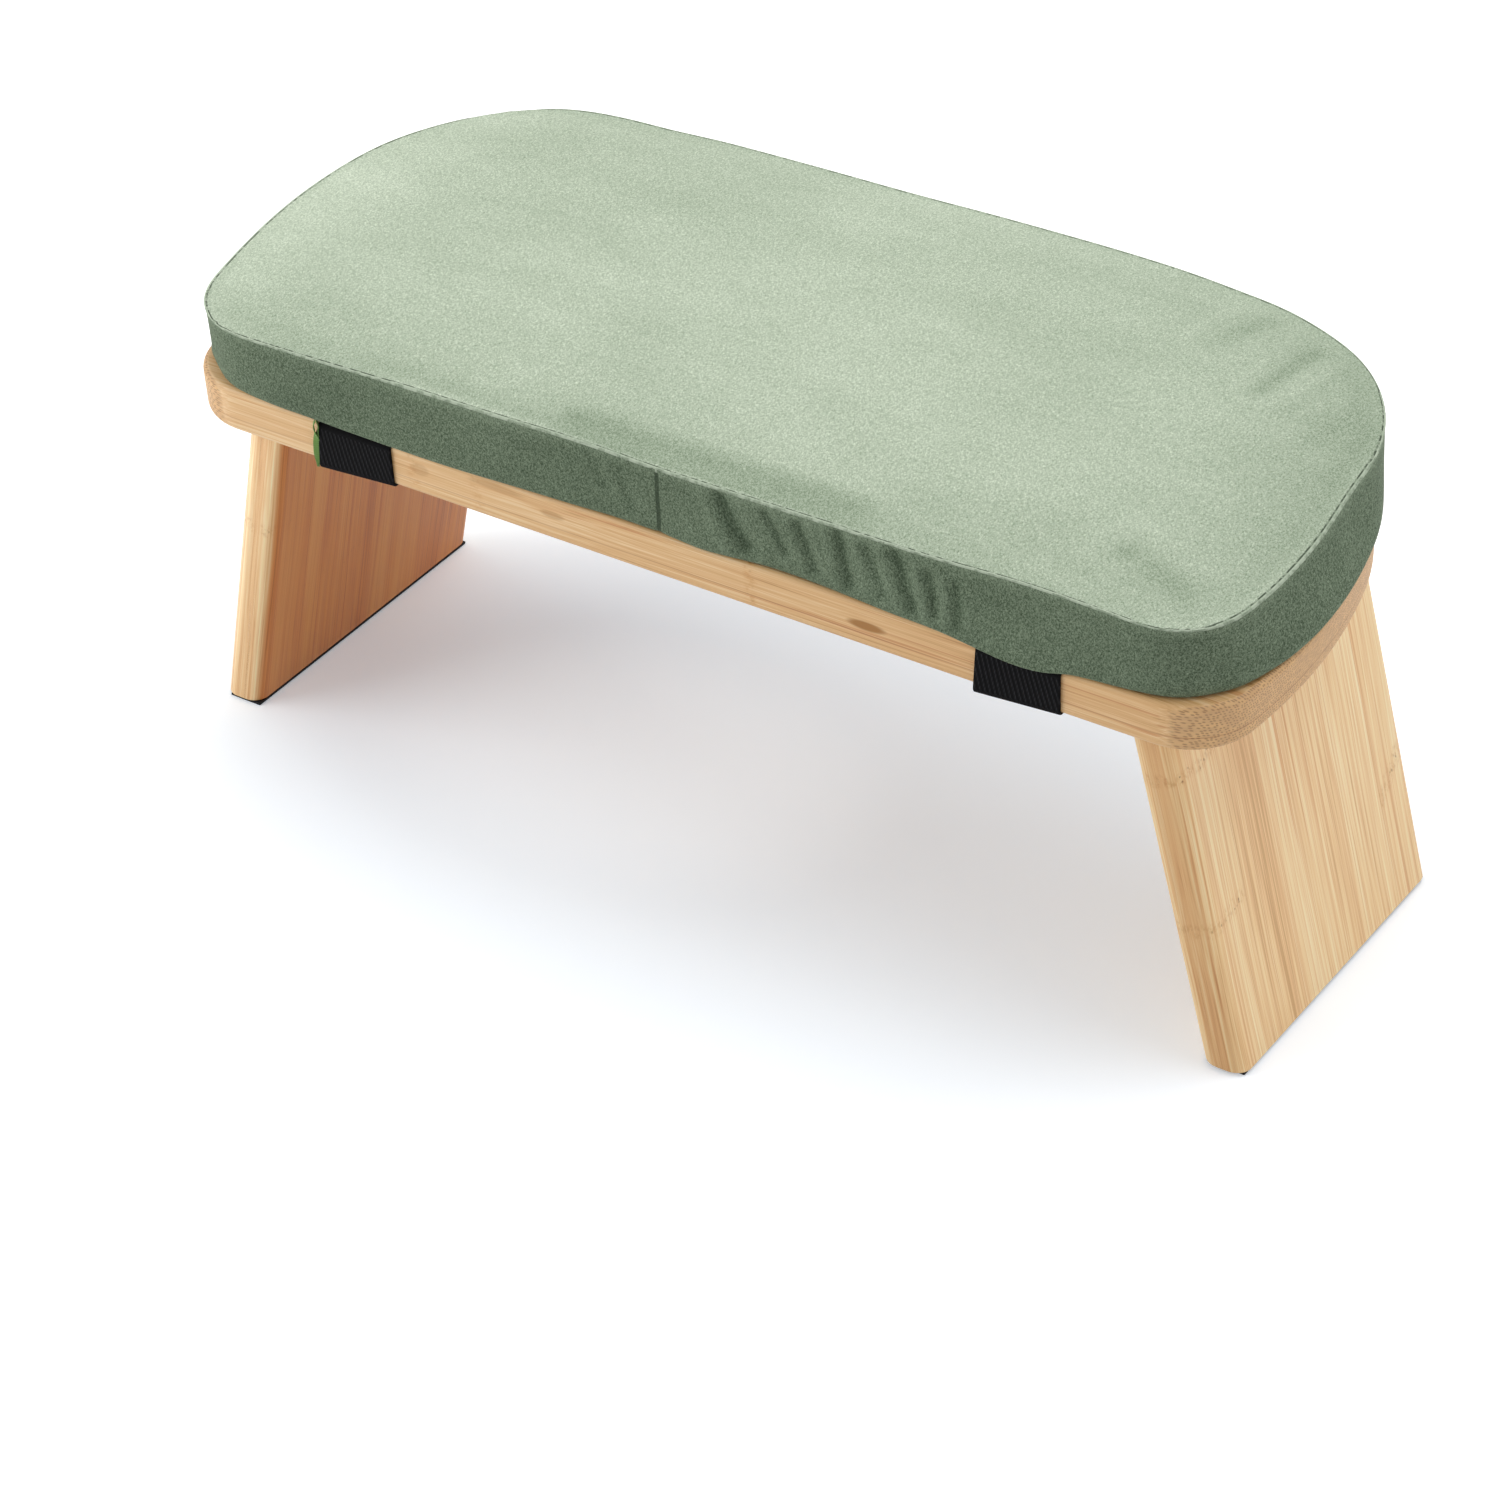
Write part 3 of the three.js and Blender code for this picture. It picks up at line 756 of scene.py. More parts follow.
@dataclass(frozen=True)
class Steel(TwoTone):
    """Brushed steel with a little tarnish."""

    def material(self, place: Matrix) -> bpy.types.Material:
        """Mixes the material, brushed along Y of the frame given."""
        mix = SurfaceRecipe(self.name, Metallic=1.0)
        spot = mix.coordinates(place)
        brush = mix.cloud(mix.stretch(spot, (2600.0, 120.0, 2600.0)), 1.0, 2.0)
        spots = mix.cloud(spot, 210.0, 3.0, 0.6)
        rough = 0.24 + brush * 0.20 + spots * 0.10
        return self.between(mix, spots.ramp(0.75, 0.40), brush, 0.00003, rough, 0.6)


@dataclass(frozen=True)
class FoamRubber(TwoTone):
    """Black anti-slip foam rubber with a fine open skin."""

    def material(self, place: Matrix) -> bpy.types.Material:
        """Mixes the material in the frame given."""
        mix = SurfaceRecipe(self.name, Specular_IOR_Level=0.3)
        spot = mix.coordinates(place)
        pits = mix.spots(spot, 1300.0)
        dust = mix.cloud(spot, 320.0, 3.0, 0.6)
        return self.between(mix, dust.ramp(0.45, 0.80) * 0.5, pits, 0.00018, 0.72 + dust * 0.2, 0.7)


@dataclass(frozen=True)
class ZipTape(TwoTone):
    """Woven zip tape: close rows of fine yarn."""

    rows_per_metre: float = 1400.0

    def material(self, place: Matrix) -> bpy.types.Material:
        """Mixes the material in the seat's frame."""
        mix = SurfaceRecipe(self.name, Specular_IOR_Level=0.25, Sheen_Weight=0.1)
        spot = mix.coordinates(place)
        along, _, up = mix.split(spot)
        turn = math.tau * self.rows_per_metre
        weave = ((along * turn).wave() + (up * turn).wave()) * 0.25 + 0.5
        cloud = mix.cloud(spot, 300.0, 2.0)
        return self.between(mix, weave * 0.6 + cloud * 0.3, weave, 0.00015, 0.7 + cloud * 0.2, 0.8)


SEAT_BAMBOO = Bamboo(
    name="seat_bamboo_finish",
    **palette(
        streak="B98850", tan="D3A56E", straw="DDB37D", cream="EAC99A",
        vein="D9A878", knot="9A6414", end_wood="CCA374", end_dot="7E5028",
    ),
    first_strip=-0.1035,
    strip_width=0.0255,
    seed=3.0,
    glue_levels=(0.0063,),
    marks=(
        CulmMark(0, 0.0360, 0.0, 0.9, 0.0035),
        CulmMark(0, -0.1130, 0.0, 0.8, 0.0035),
        CulmMark(0, -0.0840, 0.0, 0.7, 0.0030),
        CulmMark(1, -0.006, 0.1, 0.9),
        CulmMark(1, 0.118, 0.2, 0.7),
        CulmMark(2, -0.168, 0.2, 0.8),
        CulmMark(3, 0.075, -0.2, 0.7),
        CulmMark(4, 0.196, 0.2, 0.9),
        CulmMark(5, -0.092, 0.2, 0.8),
        CulmMark(6, 0.031, -0.2, 0.8),
        CulmMark(7, -0.070, 0.1, 1.0),
    ),
    knots=(
        Knot(0.0845, 0.0099, 0.0095, 0.0024, 0.95),
        Knot(-0.110, 0.0120, 0.0050, 0.0034, 0.30),
        Knot(-0.075, 0.0158, 0.0150, 0.0018, 0.35),
        Knot(-0.050, 0.0118, 0.0065, 0.0020, 0.40),
    ),
)

LEG_TONES = palette(
    streak="CF9E62", tan="E7B981", straw="F2CE96", cream="FBE5B8",
    vein="DDAA76", knot="A87B34", end_wood="CFA673", end_dot="82552C",
)
LEG_STRIPS = {"first_strip": -0.0936, "strip_width": 0.0257}

LEG_BAMBOO = {
    Side.RIGHT: Bamboo(
        name="right_leg_bamboo_finish",
        seed=11.0,
        marks=(
            CulmMark(0, -0.0245, 0.0, 1.0, 0.0040),
            CulmMark(1, -0.0225, 0.1, 0.5, 0.0035),
            CulmMark(0, -0.0900, 0.0, 0.8, 0.0050),
            CulmMark(5, -0.1140, 0.5, 1.0, 0.0070),
        ),
        # painted shade on the right leg's narrow faces
        edge_tint=(0.92, 0.89, 0.85, 1.0),
        **LEG_TONES,
        **LEG_STRIPS,
    ),
    Side.LEFT: Bamboo(
        name="left_leg_bamboo_finish",
        seed=23.0,
        marks=(
            CulmMark(0, -0.0540, 0.1, 0.8, 0.0045),
            CulmMark(2, -0.1050, 0.3, 0.8, 0.0045),
            CulmMark(4, -0.0500, -0.3, 0.8, 0.0045),
            CulmMark(5, -0.1050, 0.3, 0.7, 0.0045),
        ),
        inner_side=-1,
        # partly a darker inner ply, partly painted shade under the seat
        inner_tint=(0.77, 0.42, 0.17, 1.0),
        # painted light on the left leg's narrow faces
        edge_tint=(1.12, 1.18, 1.28, 1.0),
        **LEG_TONES,
        **LEG_STRIPS,
    ),
}

GREEN_VELVET = Velvet(
    name="velvet_finish",
    **palette(
        shadow="3A4836", deep="63725D", middle="90A088", pale="BAC7B1",
        # the seam colour paints shade along the seams, the pale seam colour a highlight on their beads
        bright="DEE8D4", seam="2E3B2B", stitch="C3CFBA",
    ),
)
# the elastic's light colour is its painted glints
BLACK_ELASTIC = Elastic("elastic_finish", **palette(light="232326", dark="060607"))
GREEN_RIBBON = Ribbon("ribbon_finish", **palette(light="759E40", dark="436F20"))
HINGE_STEEL = Steel("hinge_steel_finish", **palette(light="C9C8C4", dark="8E8C86"))
BLACK_FOAM = FoamRubber("foot_rubber_finish", **palette(light="3A3A3C", dark="111113"))
GREEN_TAPE = ZipTape("zip_tape_finish", **palette(light="7C937A", dark="56695A"))


# Modelling by hand


def take(obj: bpy.types.Object) -> None:
    """Selects one object alone and makes it active."""
    bpy.ops.object.select_all(action="DESELECT")
    obj.select_set(True)
    bpy.context.view_layer.objects.active = obj


def added(name: str, primitive: Callable[..., object], **settings: object) -> bpy.types.Object:
    """Adds a primitive, selected alone, and names it and its mesh."""
    bpy.ops.object.select_all(action="DESELECT")
    primitive(**settings)
    obj = bpy.context.active_object
    obj.name = name
    obj.data.name = name
    return obj


def linked(name: str, data: bpy.types.ID) -> bpy.types.Object:
    """A new object of the scene that holds some data."""
    obj = bpy.data.objects.new(name, data)
    bpy.context.scene.collection.objects.link(obj)
    return obj


@contextmanager
def editing(obj: bpy.types.Object, everything: bool = False) -> Iterator[None]:
    """Edit mode on one object, with nothing or everything of it selected at the start."""
    take(obj)
    bpy.ops.object.mode_set(mode="EDIT")
    bpy.ops.mesh.select_all(action="SELECT" if everything else "DESELECT")
    yield
    bpy.ops.object.mode_set(mode="OBJECT")


def pick(obj: bpy.types.Object, kind: Element, test: Test) -> None:
    """Selects points, edges or faces in edit mode.

    Args:
        obj: the object being edited.
        kind: points, edges or faces.
        test: takes an element's middle and its direction, which is the normal or an edge's run.
    """
    bpy.context.tool_settings.mesh_select_mode = tuple(kind is each for each in Element)
    mesh = bmesh.from_edit_mesh(obj.data)
    for item in getattr(mesh, kind.value):
        if kind is Element.VERTEX:
            middle, direction = item.co, item.normal
        elif kind is Element.FACE:
            middle, direction = item.calc_center_median(), item.normal
        else:
            first, second = (vert.co for vert in item.verts)
            middle, direction = (first + second) / 2, (second - first).normalized()
        item.select_set(test(middle, direction))
    mesh.select_flush_mode()
    bmesh.update_edit_mesh(obj.data)


def bevel(width: float, segments: int) -> None:
    """Rounds the selected edges."""
    bpy.ops.mesh.bevel(offset=width, segments=segments, profile=0.5, affect="EDGES", clamp_overlap=True)


def modify(obj: bpy.types.Object, kind: str, **settings: object) -> None:
    """Adds a modifier and applies it."""
    take(obj)
    modifier = obj.modifiers.new(kind.lower(), kind)
    give(modifier, settings)
    bpy.ops.object.modifier_apply(modifier=modifier.name)


def break_edges(obj: bpy.types.Object, width: float, segments: int, degrees: float) -> None:
    """Rounds the edges at which a piece turns by more than an angle."""
    modify(
        obj, "BEVEL", width=width, segments=segments, limit_method="ANGLE",
        angle_limit=math.radians(degrees), use_clamp_overlap=True,
    )


def face_outwards(obj: bpy.types.Object) -> None:
    """Turns all faces of a closed piece outwards."""
    with editing(obj, True):
        bpy.ops.mesh.normals_make_consistent(inside=False)


def smooth(obj: bpy.types.Object, degrees: float = 35.0, weighted: bool = True) -> None:
    """Shades a piece smooth up to an angle, with its broad faces kept flat."""
    take(obj)
    bpy.ops.object.shade_smooth_by_angle(angle=math.radians(degrees))
    if weighted:
        modify(obj, "WEIGHTED_NORMAL", weight=80, keep_sharp=True)


def settle(obj: bpy.types.Object, place: Matrix) -> None:
    """Moves a piece to its place, and puts that place into its mesh."""
    obj.matrix_world = place
    take(obj)
    bpy.ops.object.transform_apply(location=True, rotation=True, scale=True)


def block(name: str, low: Sequence[float], high: Sequence[float]) -> bpy.types.Object:
    """A box between two corners, to be shaped further."""
    low, high = Vector(low), Vector(high)
    obj = added(name, bpy.ops.mesh.primitive_cube_add, size=1.0, location=(low + high) / 2)
    obj.scale = high - low
    bpy.ops.object.transform_apply(location=True, rotation=True, scale=True)
    return obj


def wrapped_grid(
    name: str, columns: int, rows: int, place: Callable[[float, float], Vector]
) -> bpy.types.Object:
    """A grid laid over a form.

    Args:
        name: the object's name.
        columns: steps in its first direction.
        rows: steps in its second direction.
        place: where a point goes, from its share of each direction.

    Returns:
        The grid, with its map still square.
    """
    grid = bpy.ops.mesh.primitive_grid_add
    obj = added(name, grid, x_subdivisions=columns, y_subdivisions=rows, size=2.0, calc_uvs=True)
    for vertex in obj.data.vertices:
        vertex.co = place((vertex.co.x + 1) / 2, (vertex.co.y + 1) / 2)
    return obj


def join(pieces: Sequence[bpy.types.Object], merge: float = 0.0) -> bpy.types.Object:
    """Joins pieces into the first, and merges what meets within a distance."""
    take(pieces[0])
    for piece in pieces[1:]:
        piece.select_set(True)
    bpy.ops.object.join()
    joined = bpy.context.active_object
    if merge > 0:
        with editing(joined, True):
            bpy.ops.mesh.remove_doubles(threshold=merge)
            bpy.ops.mesh.normals_make_consistent(inside=False)
    return joined


def carve(obj: bpy.types.Object, cutters: Sequence[bpy.types.Object]) -> None:
    """Cuts other solids out of a piece, and removes them."""
    for cutter in cutters:
        modify(obj, "BOOLEAN", operation="DIFFERENCE", object=cutter, solver="EXACT")
        bpy.data.objects.remove(cutter)


def dress(obj: bpy.types.Object, finish: bpy.types.Material) -> None:
    """Gives a piece one material."""
    obj.data.materials.clear()
    obj.data.materials.append(finish)


def hand_over(
    obj: bpy.types.Object,
    finish: bpy.types.Material,
    body: Body,
    slot: str,
    *nodes: str,
) -> bpy.types.Object:
    """Dresses a finished piece and ties it to the frame.

    Args:
        obj: the finished piece.
        finish: its material.
        body: the body that it rides on.
        slot: the material slot of the record that it takes; not used.
        nodes: the nodes that it stands for.

    Returns:
        The piece.
    """
    dress(obj, finish)
    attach(obj, body.value)
    if nodes:
        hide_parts(*nodes)
    log.info("%s: %d faces, on %s", obj.name, len(obj.data.polygons), body.value)
    return obj


# Outlines and frames


def joint_named(name: str) -> dict[str, object]:
    """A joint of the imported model."""
    return next(joint for joint in frame["joints"] if joint["name"] == name)


@dataclass(frozen=True)
class Outline:
    """A plan with a straight front, small front corners and wide rear shoulders.

    Half of it runs straight from the rear middle and turns through four arcs to the front.
    """

    length: float
    depth: float
    middle: float
    easing_radius: float
    shoulder_radius: float
    end_radius: float
    corner_radius: float
    easing_turn: float = math.radians(6.3)
    shoulder_turn: float = math.radians(78.6)

    def _pieces(self) -> list[tuple[float, float, float, float, float]]:
        """Each stretch of the right half from the rear: length, start X, start Y, start turn, radius."""
        sin, cos = math.sin, math.cos
        easing, shoulder = self.easing_turn, self.shoulder_turn
        straight = (
            self.length / 2
            - self.easing_radius * sin(easing)
            - self.shoulder_radius * (sin(shoulder) - sin(easing))
            - self.end_radius * (1 - sin(shoulder))
        )
        drop = self.easing_radius * (1 - cos(easing)) + self.shoulder_radius * (cos(easing) - cos(shoulder))
        rest = self.depth - drop - self.end_radius * cos(shoulder) - self.corner_radius
        end_turn = math.acos(rest / (self.corner_radius - self.end_radius))
        x, y, turn = 0.0, self.middle + self.depth / 2, 0.0
        found = [(straight, x, y, turn, 0.0)]
        x = straight
        arcs = [
            (self.easing_radius, easing),
            (self.shoulder_radius, shoulder),
            (self.end_radius, end_turn),
            (self.corner_radius, math.pi),
        ]
        for radius, end in arcs:
            found.append((radius * (end - turn), x, y, turn, radius))
            x += radius * (sin(end) - sin(turn))
            y += radius * (cos(end) - cos(turn))
            turn = end
        found.append((x, x, y, turn, 0.0))
        return found

    @property
    def perimeter(self) -> float:
        """The whole length of the outline."""
        return 2 * sum(piece[0] for piece in self._pieces())

    def at(self, share: float) -> tuple[Vector, Vector]:
        """A place on the outline and its outward direction.

        Args:
            share: how far round, from the front middle by the right, from 0 to 1.

        Returns:
            The place and the unit vector outwards, both in the plan.
        """
        share %= 1.0
        mirrored = share > 0.5
        pieces = self._pieces()
        whole = sum(piece[0] for piece in pieces)
        left = whole * (1 - 2 * (1 - share if mirrored else share))
        for run, x, y, turn, radius in pieces:
            if left <= run or turn >= math.pi - TINY:
                break
            left -= run
        if radius > 0:
            end = turn + left / radius
            x += radius * (math.sin(end) - math.sin(turn))
            y += radius * (math.cos(end) - math.cos(turn))
            turn = end
        else:
            x += left * math.cos(turn)
        sign = -1 if mirrored else 1
        return Vector((sign * x, y, 0)), Vector((sign * math.sin(turn), math.cos(turn), 0))

    def rear_at(self, x: float) -> float:
        """How far back the outline reaches at a distance from the middle."""
        low, high = 0.25, 0.5
        for _ in range(40):
            share = (low + high) / 2
            if self.at(share)[0].x > abs(x):
                low = share
            else:
                high = share
        return self.at(high)[0].y


@dataclass(frozen=True)
class SeatFrame:
    """The seat's frame: X along it, Y across its depth and Z up from the board's underside."""

    origin: Vector
    tilt: float

    @classmethod
    def found(cls) -> "SeatFrame":
        """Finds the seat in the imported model, from the board's box and a hinge's axis."""
        axis = Vector(joint_named("right_leg_fold")["axis"])
        tilt = math.asin(axis.z / axis.length)
        low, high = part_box("seat_board")
        up = Vector((0, -math.sin(tilt), math.cos(tilt)))
        return cls((low + high) / 2 - up * BOARD_THICKNESS / 2, tilt)

    @property
    def matrix(self) -> Matrix:
        """From the seat's frame to the row frame."""
        return Matrix.Translation(self.origin) @ Matrix.Rotation(self.tilt, 4, "X")

    def local(self, point: Sequence[float]) -> Vector:
        """A place of the row frame in the seat's frame."""
        return self.matrix.inverted() @ Vector(point)


BOARD_OUTLINE = Outline(0.460, 0.204, 0.0, 0.416, 0.112, 0.233, 0.028)
CUSHION_OUTLINE = Outline(0.457, 0.209, 0.001, 0.420, 0.098, 0.240, 0.036)


@dataclass
class Hinges:
    """Two butt hinges of a leg, with their screws, let into the seat and the leg."""

    seat: SeatFrame
    side: Side
    leg: Matrix
    length: float = 0.030
    leaf_width: float = 0.013
    knuckle_radius: float = 0.0022
    clearance: float = 0.0003
    edge_break: float = 0.00012
    ends: tuple[str, str] = ("front", "rear")

    def _places(self) -> list[float]:
        """How far back each hinge sits, in the seat's frame."""
        boxes = [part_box(f"hinge_{self.side.word}_{end}_pin") for end in self.ends]
        return [self.seat.local((low + high) / 2).y for low, high in boxes]

    def _mortise(self, place: Matrix) -> bpy.types.Object:
        """A cutter for the room that a leaf and the barrel take."""
        half = self.length / 2 + self.clearance
        deep = self.knuckle_radius + self.clearance
        low = (-deep, -half, -self.knuckle_radius)
        high = (self.leaf_width + self.clearance, half, deep)
        cutter = block("mortise", low, high)
        settle(cutter, place)
        return cutter

    def seat_mortises(self) -> list[bpy.types.Object]:
        """Cutters for the seat's side."""
        axis = self.seat.local(self.leg.translation)
        turn = Matrix.Rotation(math.pi if self.side is Side.RIGHT else 0.0, 4, "Z")
        return [
            self._mortise(self.seat.matrix @ Matrix.Translation((axis.x, y, axis.z)) @ turn)
            for y in self._places()
        ]

    def leg_mortises(self) -> list[bpy.types.Object]:
        """Cutters for the leg's side."""
        lean = Matrix.Rotation(self.side.value * QUARTER, 4, "Y")
        turn = Matrix.Rotation(0.0 if self.side is Side.RIGHT else math.pi, 4, "Z")
        return [
            self._mortise(self.leg @ Matrix.Translation((0, y, 0)) @ lean @ turn)
            for y in self._places()
        ]

    def build(self, finish: bpy.types.Material) -> None:
        """Makes the leaves, pins and screws, each with its edges broken."""
        legs_body = Body[f"{self.side.name}_LEG"]
        for node in sorted(frame["nodes"]):
            if not node.startswith((f"hinge_{self.side.word}_", f"screw_{self.side.word}_")):
                continue
            body = legs_body if "_leg" in node else Body.SEAT
            hand_over(self._broken_edges(node), finish, body, "hinge_steel", node)

    def _broken_edges(self, node: str) -> bpy.types.Object:
        """A copy of a node with its facets joined and its sharp edges broken."""
        source = frame["nodes"][node]
        obj = linked(f"fine_{node}", source.data.copy())
        with editing(obj, True):
            bpy.ops.mesh.remove_doubles(threshold=TINY * 2)
            bpy.ops.mesh.dissolve_limited(angle_limit=math.radians(1.0))
        break_edges(obj, self.edge_break, 2, 40.0)
        smooth(obj, 40.0)
        return obj


@dataclass
class SeatBoard:
    """The bamboo board of the seat, with rounded edges and the hinges' mortises."""

    seat: SeatFrame
    steps: int = 400
    edge_segments: int = 7

    def build(self, cutters: Sequence[bpy.types.Object]) -> bpy.types.Object:
        """Models the board and cuts the mortises out of it."""
        circle = bpy.ops.mesh.primitive_circle_add
        board = added("bamboo_board", circle, vertices=self.steps, radius=1.0, fill_type="NGON")
        for i, vertex in enumerate(board.data.vertices):
            vertex.co = BOARD_OUTLINE.at(i / self.steps)[0]
        with editing(board, True):
            lift = {"value": (0, 0, BOARD_THICKNESS)}
            bpy.ops.mesh.extrude_region_move(TRANSFORM_OT_translate=lift)
            bpy.ops.mesh.select_all(action="SELECT")
            bpy.ops.mesh.normals_make_consistent(inside=False)
            pick(board, Element.EDGE, lambda middle, run: abs(run.z) < 0.5)
            bevel(BOARD_EDGE_RADIUS, self.edge_segments)
        settle(board, self.seat.matrix)
        carve(board, cutters)
        smooth(board)
        finish = SEAT_BAMBOO.material(self.seat.matrix)
        return hand_over(board, finish, Body.SEAT, "seat_bamboo", "seat_board")


@dataclass(frozen=True)
class Insets:
    """How far a strip stays back from a leg's faces."""

    inner: float = 0.0
    outer: float = 0.0
    front: float = 0.0
    rear: float = 0.0


PAD_INSETS = {
    Side.LEFT: Insets(0.0001, 0.0027, 0.0012, 0.0020),
    Side.RIGHT: Insets(0.0012, 0.0016, 0.0032, 0.0020),
}


@dataclass
class Leg:
    """One folding leg: a bamboo panel and the anti-slip strip under it."""

    seat: SeatFrame
    side: Side
    thickness: float = 0.0175
    front: float = -0.0936
    rear: float = 0.0606
    edge_radius: float = 0.0066
    rim_radius: float = 0.0006
    pad_thickness: float = 0.0012
    pad_corner: float = 0.0004
    pad_rim: float = 0.0001
    inner_face: float = 0.001
    splay: float = math.radians(13)
    gap: float = 0.0003
    blank_length: float = 0.24
    blank_top: float = 0.03
    edge_segments: int = 12
    rim_segments: int = 3
    matrix: Matrix = field(init=False)

    def __post_init__(self) -> None:
        """Finds the leg's frame: its origin on the hinge's axis, Z up along the leg."""
        hinge = self.seat.local(joint_named(f"{self.side.word}_leg_fold")["pos_m"])
        turn = Matrix.Rotation(-self.side.value * self.splay, 4, "Y")
        self.matrix = self.seat.matrix @ Matrix.Translation((hinge.x, 0, hinge.z)) @ turn

    @property
    def body(self) -> Body:
        """The body that the leg's pieces ride on."""
        return Body[f"{self.side.name}_LEG"]

    def _blank(self, name: str, corner: float, insets: Insets) -> bpy.types.Object:
        """A long panel with its four long edges rounded, in its place."""
        near = self.inner_face + insets.inner
        far = self.inner_face + self.thickness - insets.outer
        faces = sorted((self.side.value * near, self.side.value * far))
        low = (faces[0], self.front + insets.front, self.blank_top - self.blank_length)
        high = (faces[1], self.rear - insets.rear, self.blank_top)
        panel = block(name, low, high)
        with editing(panel):
            pick(panel, Element.EDGE, lambda middle, run: abs(run.z) > 0.9)
            bevel(corner, self.edge_segments)
        settle(panel, self.matrix)
        return panel

    def _trim(self, panel: bpy.types.Object, point: Vector, normal: Vector, rim: float) -> None:
        """Saws the panel off at a plane, keeps what lies behind it and breaks the new edges."""
        with editing(panel, True):
            bpy.ops.mesh.bisect(plane_co=point, plane_no=normal, use_fill=True, clear_outer=True)
            pick(panel, Element.EDGE, lambda middle, run: abs((middle - point).dot(normal)) < TINY * 5)
            bevel(rim, self.rim_segments)

    def panel(self, cutters: Sequence[bpy.types.Object]) -> bpy.types.Object:
        """The bamboo panel, cut to the floor and to the seat."""
        panel = self._blank(f"bamboo_leg_{self.side.word}", self.edge_radius, Insets())
        up = self.seat.matrix.to_3x3() @ UP
        self._trim(panel, self.seat.origin - up * self.gap, up, self.rim_radius)
        self._trim(panel, UP * (self.pad_thickness + self.gap), -UP, self.rim_radius)
        carve(panel, cutters)
        smooth(panel)
        grain = self.matrix @ Matrix.Rotation(-QUARTER, 4, "Y")
        finish = LEG_BAMBOO[self.side].material(grain)
        return hand_over(panel, finish, self.body, "leg_bamboo", f"leg_{self.side.word}")

    def pad(self, finish: bpy.types.Material) -> bpy.types.Object:
        """The anti-slip strip."""
        pad = self._blank(f"foam_foot_{self.side.word}", self.pad_corner, PAD_INSETS[self.side])
        self._trim(pad, UP * self.pad_thickness, UP, self.pad_rim)
        self._trim(pad, Vector(), -UP, self.pad_rim)
        smooth(pad)
        return hand_over(pad, finish, self.body, "foot_rubber", f"foot_pad_{self.side.word}")


@dataclass
class StrapPath:
    """The way of a strip round the board, from its top at the front, under it and up at the rear."""

    tuck: float = 0.0047
    slack_reach: float = 0.008
    slack_start: float = 0.001
    hang_share: float = 0.4
    bend_steps: int = 7
    flat_steps: int = 24

    def points(self, x_front: float, x_rear: float, off: float, slack: tuple[float, float]) -> list[Vector]:
        """Places along the path at a distance off the board.

        Args:
            x_front: where the strip crosses the front edge.
            x_rear: where it crosses the rear edge.
            off: its distance from the wood.
            slack: how far it stands off the front edge besides, at the top and at the bottom.

        Returns:
            The places, in the seat's frame.
        """
        front, rear = -BOARD_OUTLINE.depth / 2, BOARD_OUTLINE.rear_at(x_rear)
        step = 0.001
        slope = (BOARD_OUTLINE.rear_at(x_rear + step) - BOARD_OUTLINE.rear_at(x_rear - step)) / (2 * step)
        stretch = 1 / math.cos(math.atan(slope))
        radius, top = BOARD_EDGE_RADIUS, BOARD_THICKNESS - BOARD_EDGE_RADIUS
        reach = radius + off
        flat = [(front + self.tuck, BOARD_THICKNESS + off)]
        bends = [
            (front + radius, top, QUARTER, 1.0),
            (front + radius, radius, 2 * QUARTER, 1.0),
            (rear - radius * stretch, radius, 3 * QUARTER, stretch),
            (rear - radius * stretch, top, 0.0, stretch),
        ]
        for number, (y, z, start, wide) in enumerate(bends):
            for i in range(self.bend_steps + 1):
                turn = start + QUARTER * i / self.bend_steps
                flat.append((y + reach * math.cos(turn) * wide, z + reach * math.sin(turn)))
            if number == 1:
                (start_y, level), end_y = flat[-1], bends[2][0]
                for i in range(1, self.flat_steps):
                    flat.append((start_y + (end_y - start_y) * i / self.flat_steps, level))
        flat.append((rear - self.tuck * stretch, BOARD_THICKNESS + off))
        flat = [self._slackened(y, z, front, slack) for y, z in flat]
        span = rear - front
        return [Vector((x_front + (x_rear - x_front) * (y - front) / span, y, z)) for y, z in flat]

    def _slackened(
        self, y: float, z: float, front: float, slack: tuple[float, float]
    ) -> tuple[float, float]:
        """Lets the strip stand off the front edge, and hang a little under it."""
        near = smooth_step(y, front + self.slack_reach, front + self.slack_start)
        low = smooth_step(z, BOARD_THICKNESS, 0.0)
        out = slack[0] + (slack[1] - slack[0]) * low
        return y - near * out, z - near * low * slack[1] * self.hang_share


@dataclass
class Strap:
    """A flat elastic strap round the board, sewn to the cushion at both ends."""

    seat: SeatFrame
    side: Side
    front_place: float
    rear_place: float
    width: float = 0.0335
    thickness: float = 0.0013
    off: float = 0.0001
    rim: float = 0.0004
    slack_top: float = 0.0012
    slack_bottom: tuple[float, float] = (0.0032, 0.0011)
    columns: int = 16
    path: StrapPath = field(default_factory=StrapPath)

    def build(self) -> bpy.types.Object:
        """Models the strap."""
        columns = self.columns
        lines = []
        for i in range(columns + 1):
            across = self.width * (i / columns - 0.5)
            low = self.slack_bottom[0] + (self.slack_bottom[1] - self.slack_bottom[0]) * i / columns
            front, rear = self.front_place + across, self.rear_place + across
            lines.append(self.path.points(front, rear, self.off, (self.slack_top, low)))
        rows = len(lines[0]) - 1
        strap = wrapped_grid(
            f"elastic_strap_{self.side.word}", columns, rows,
            lambda u, v: lines[round(u * columns)][round(v * rows)],
        )
        modify(strap, "SOLIDIFY", thickness=self.thickness, offset=1.0, use_even_offset=True)
        break_edges(strap, self.rim, 3, 50.0)
        face_outwards(strap)
        settle(strap, self.seat.matrix)
        smooth(strap, 40.0, weighted=False)
        length = sum((b - a).length for a, b in zip(lines[0], lines[0][1:]))
        finish = BLACK_ELASTIC.material(length, self.width)
        return hand_over(strap, finish, Body.SEAT, "elastic", f"strap_{self.side.word}")


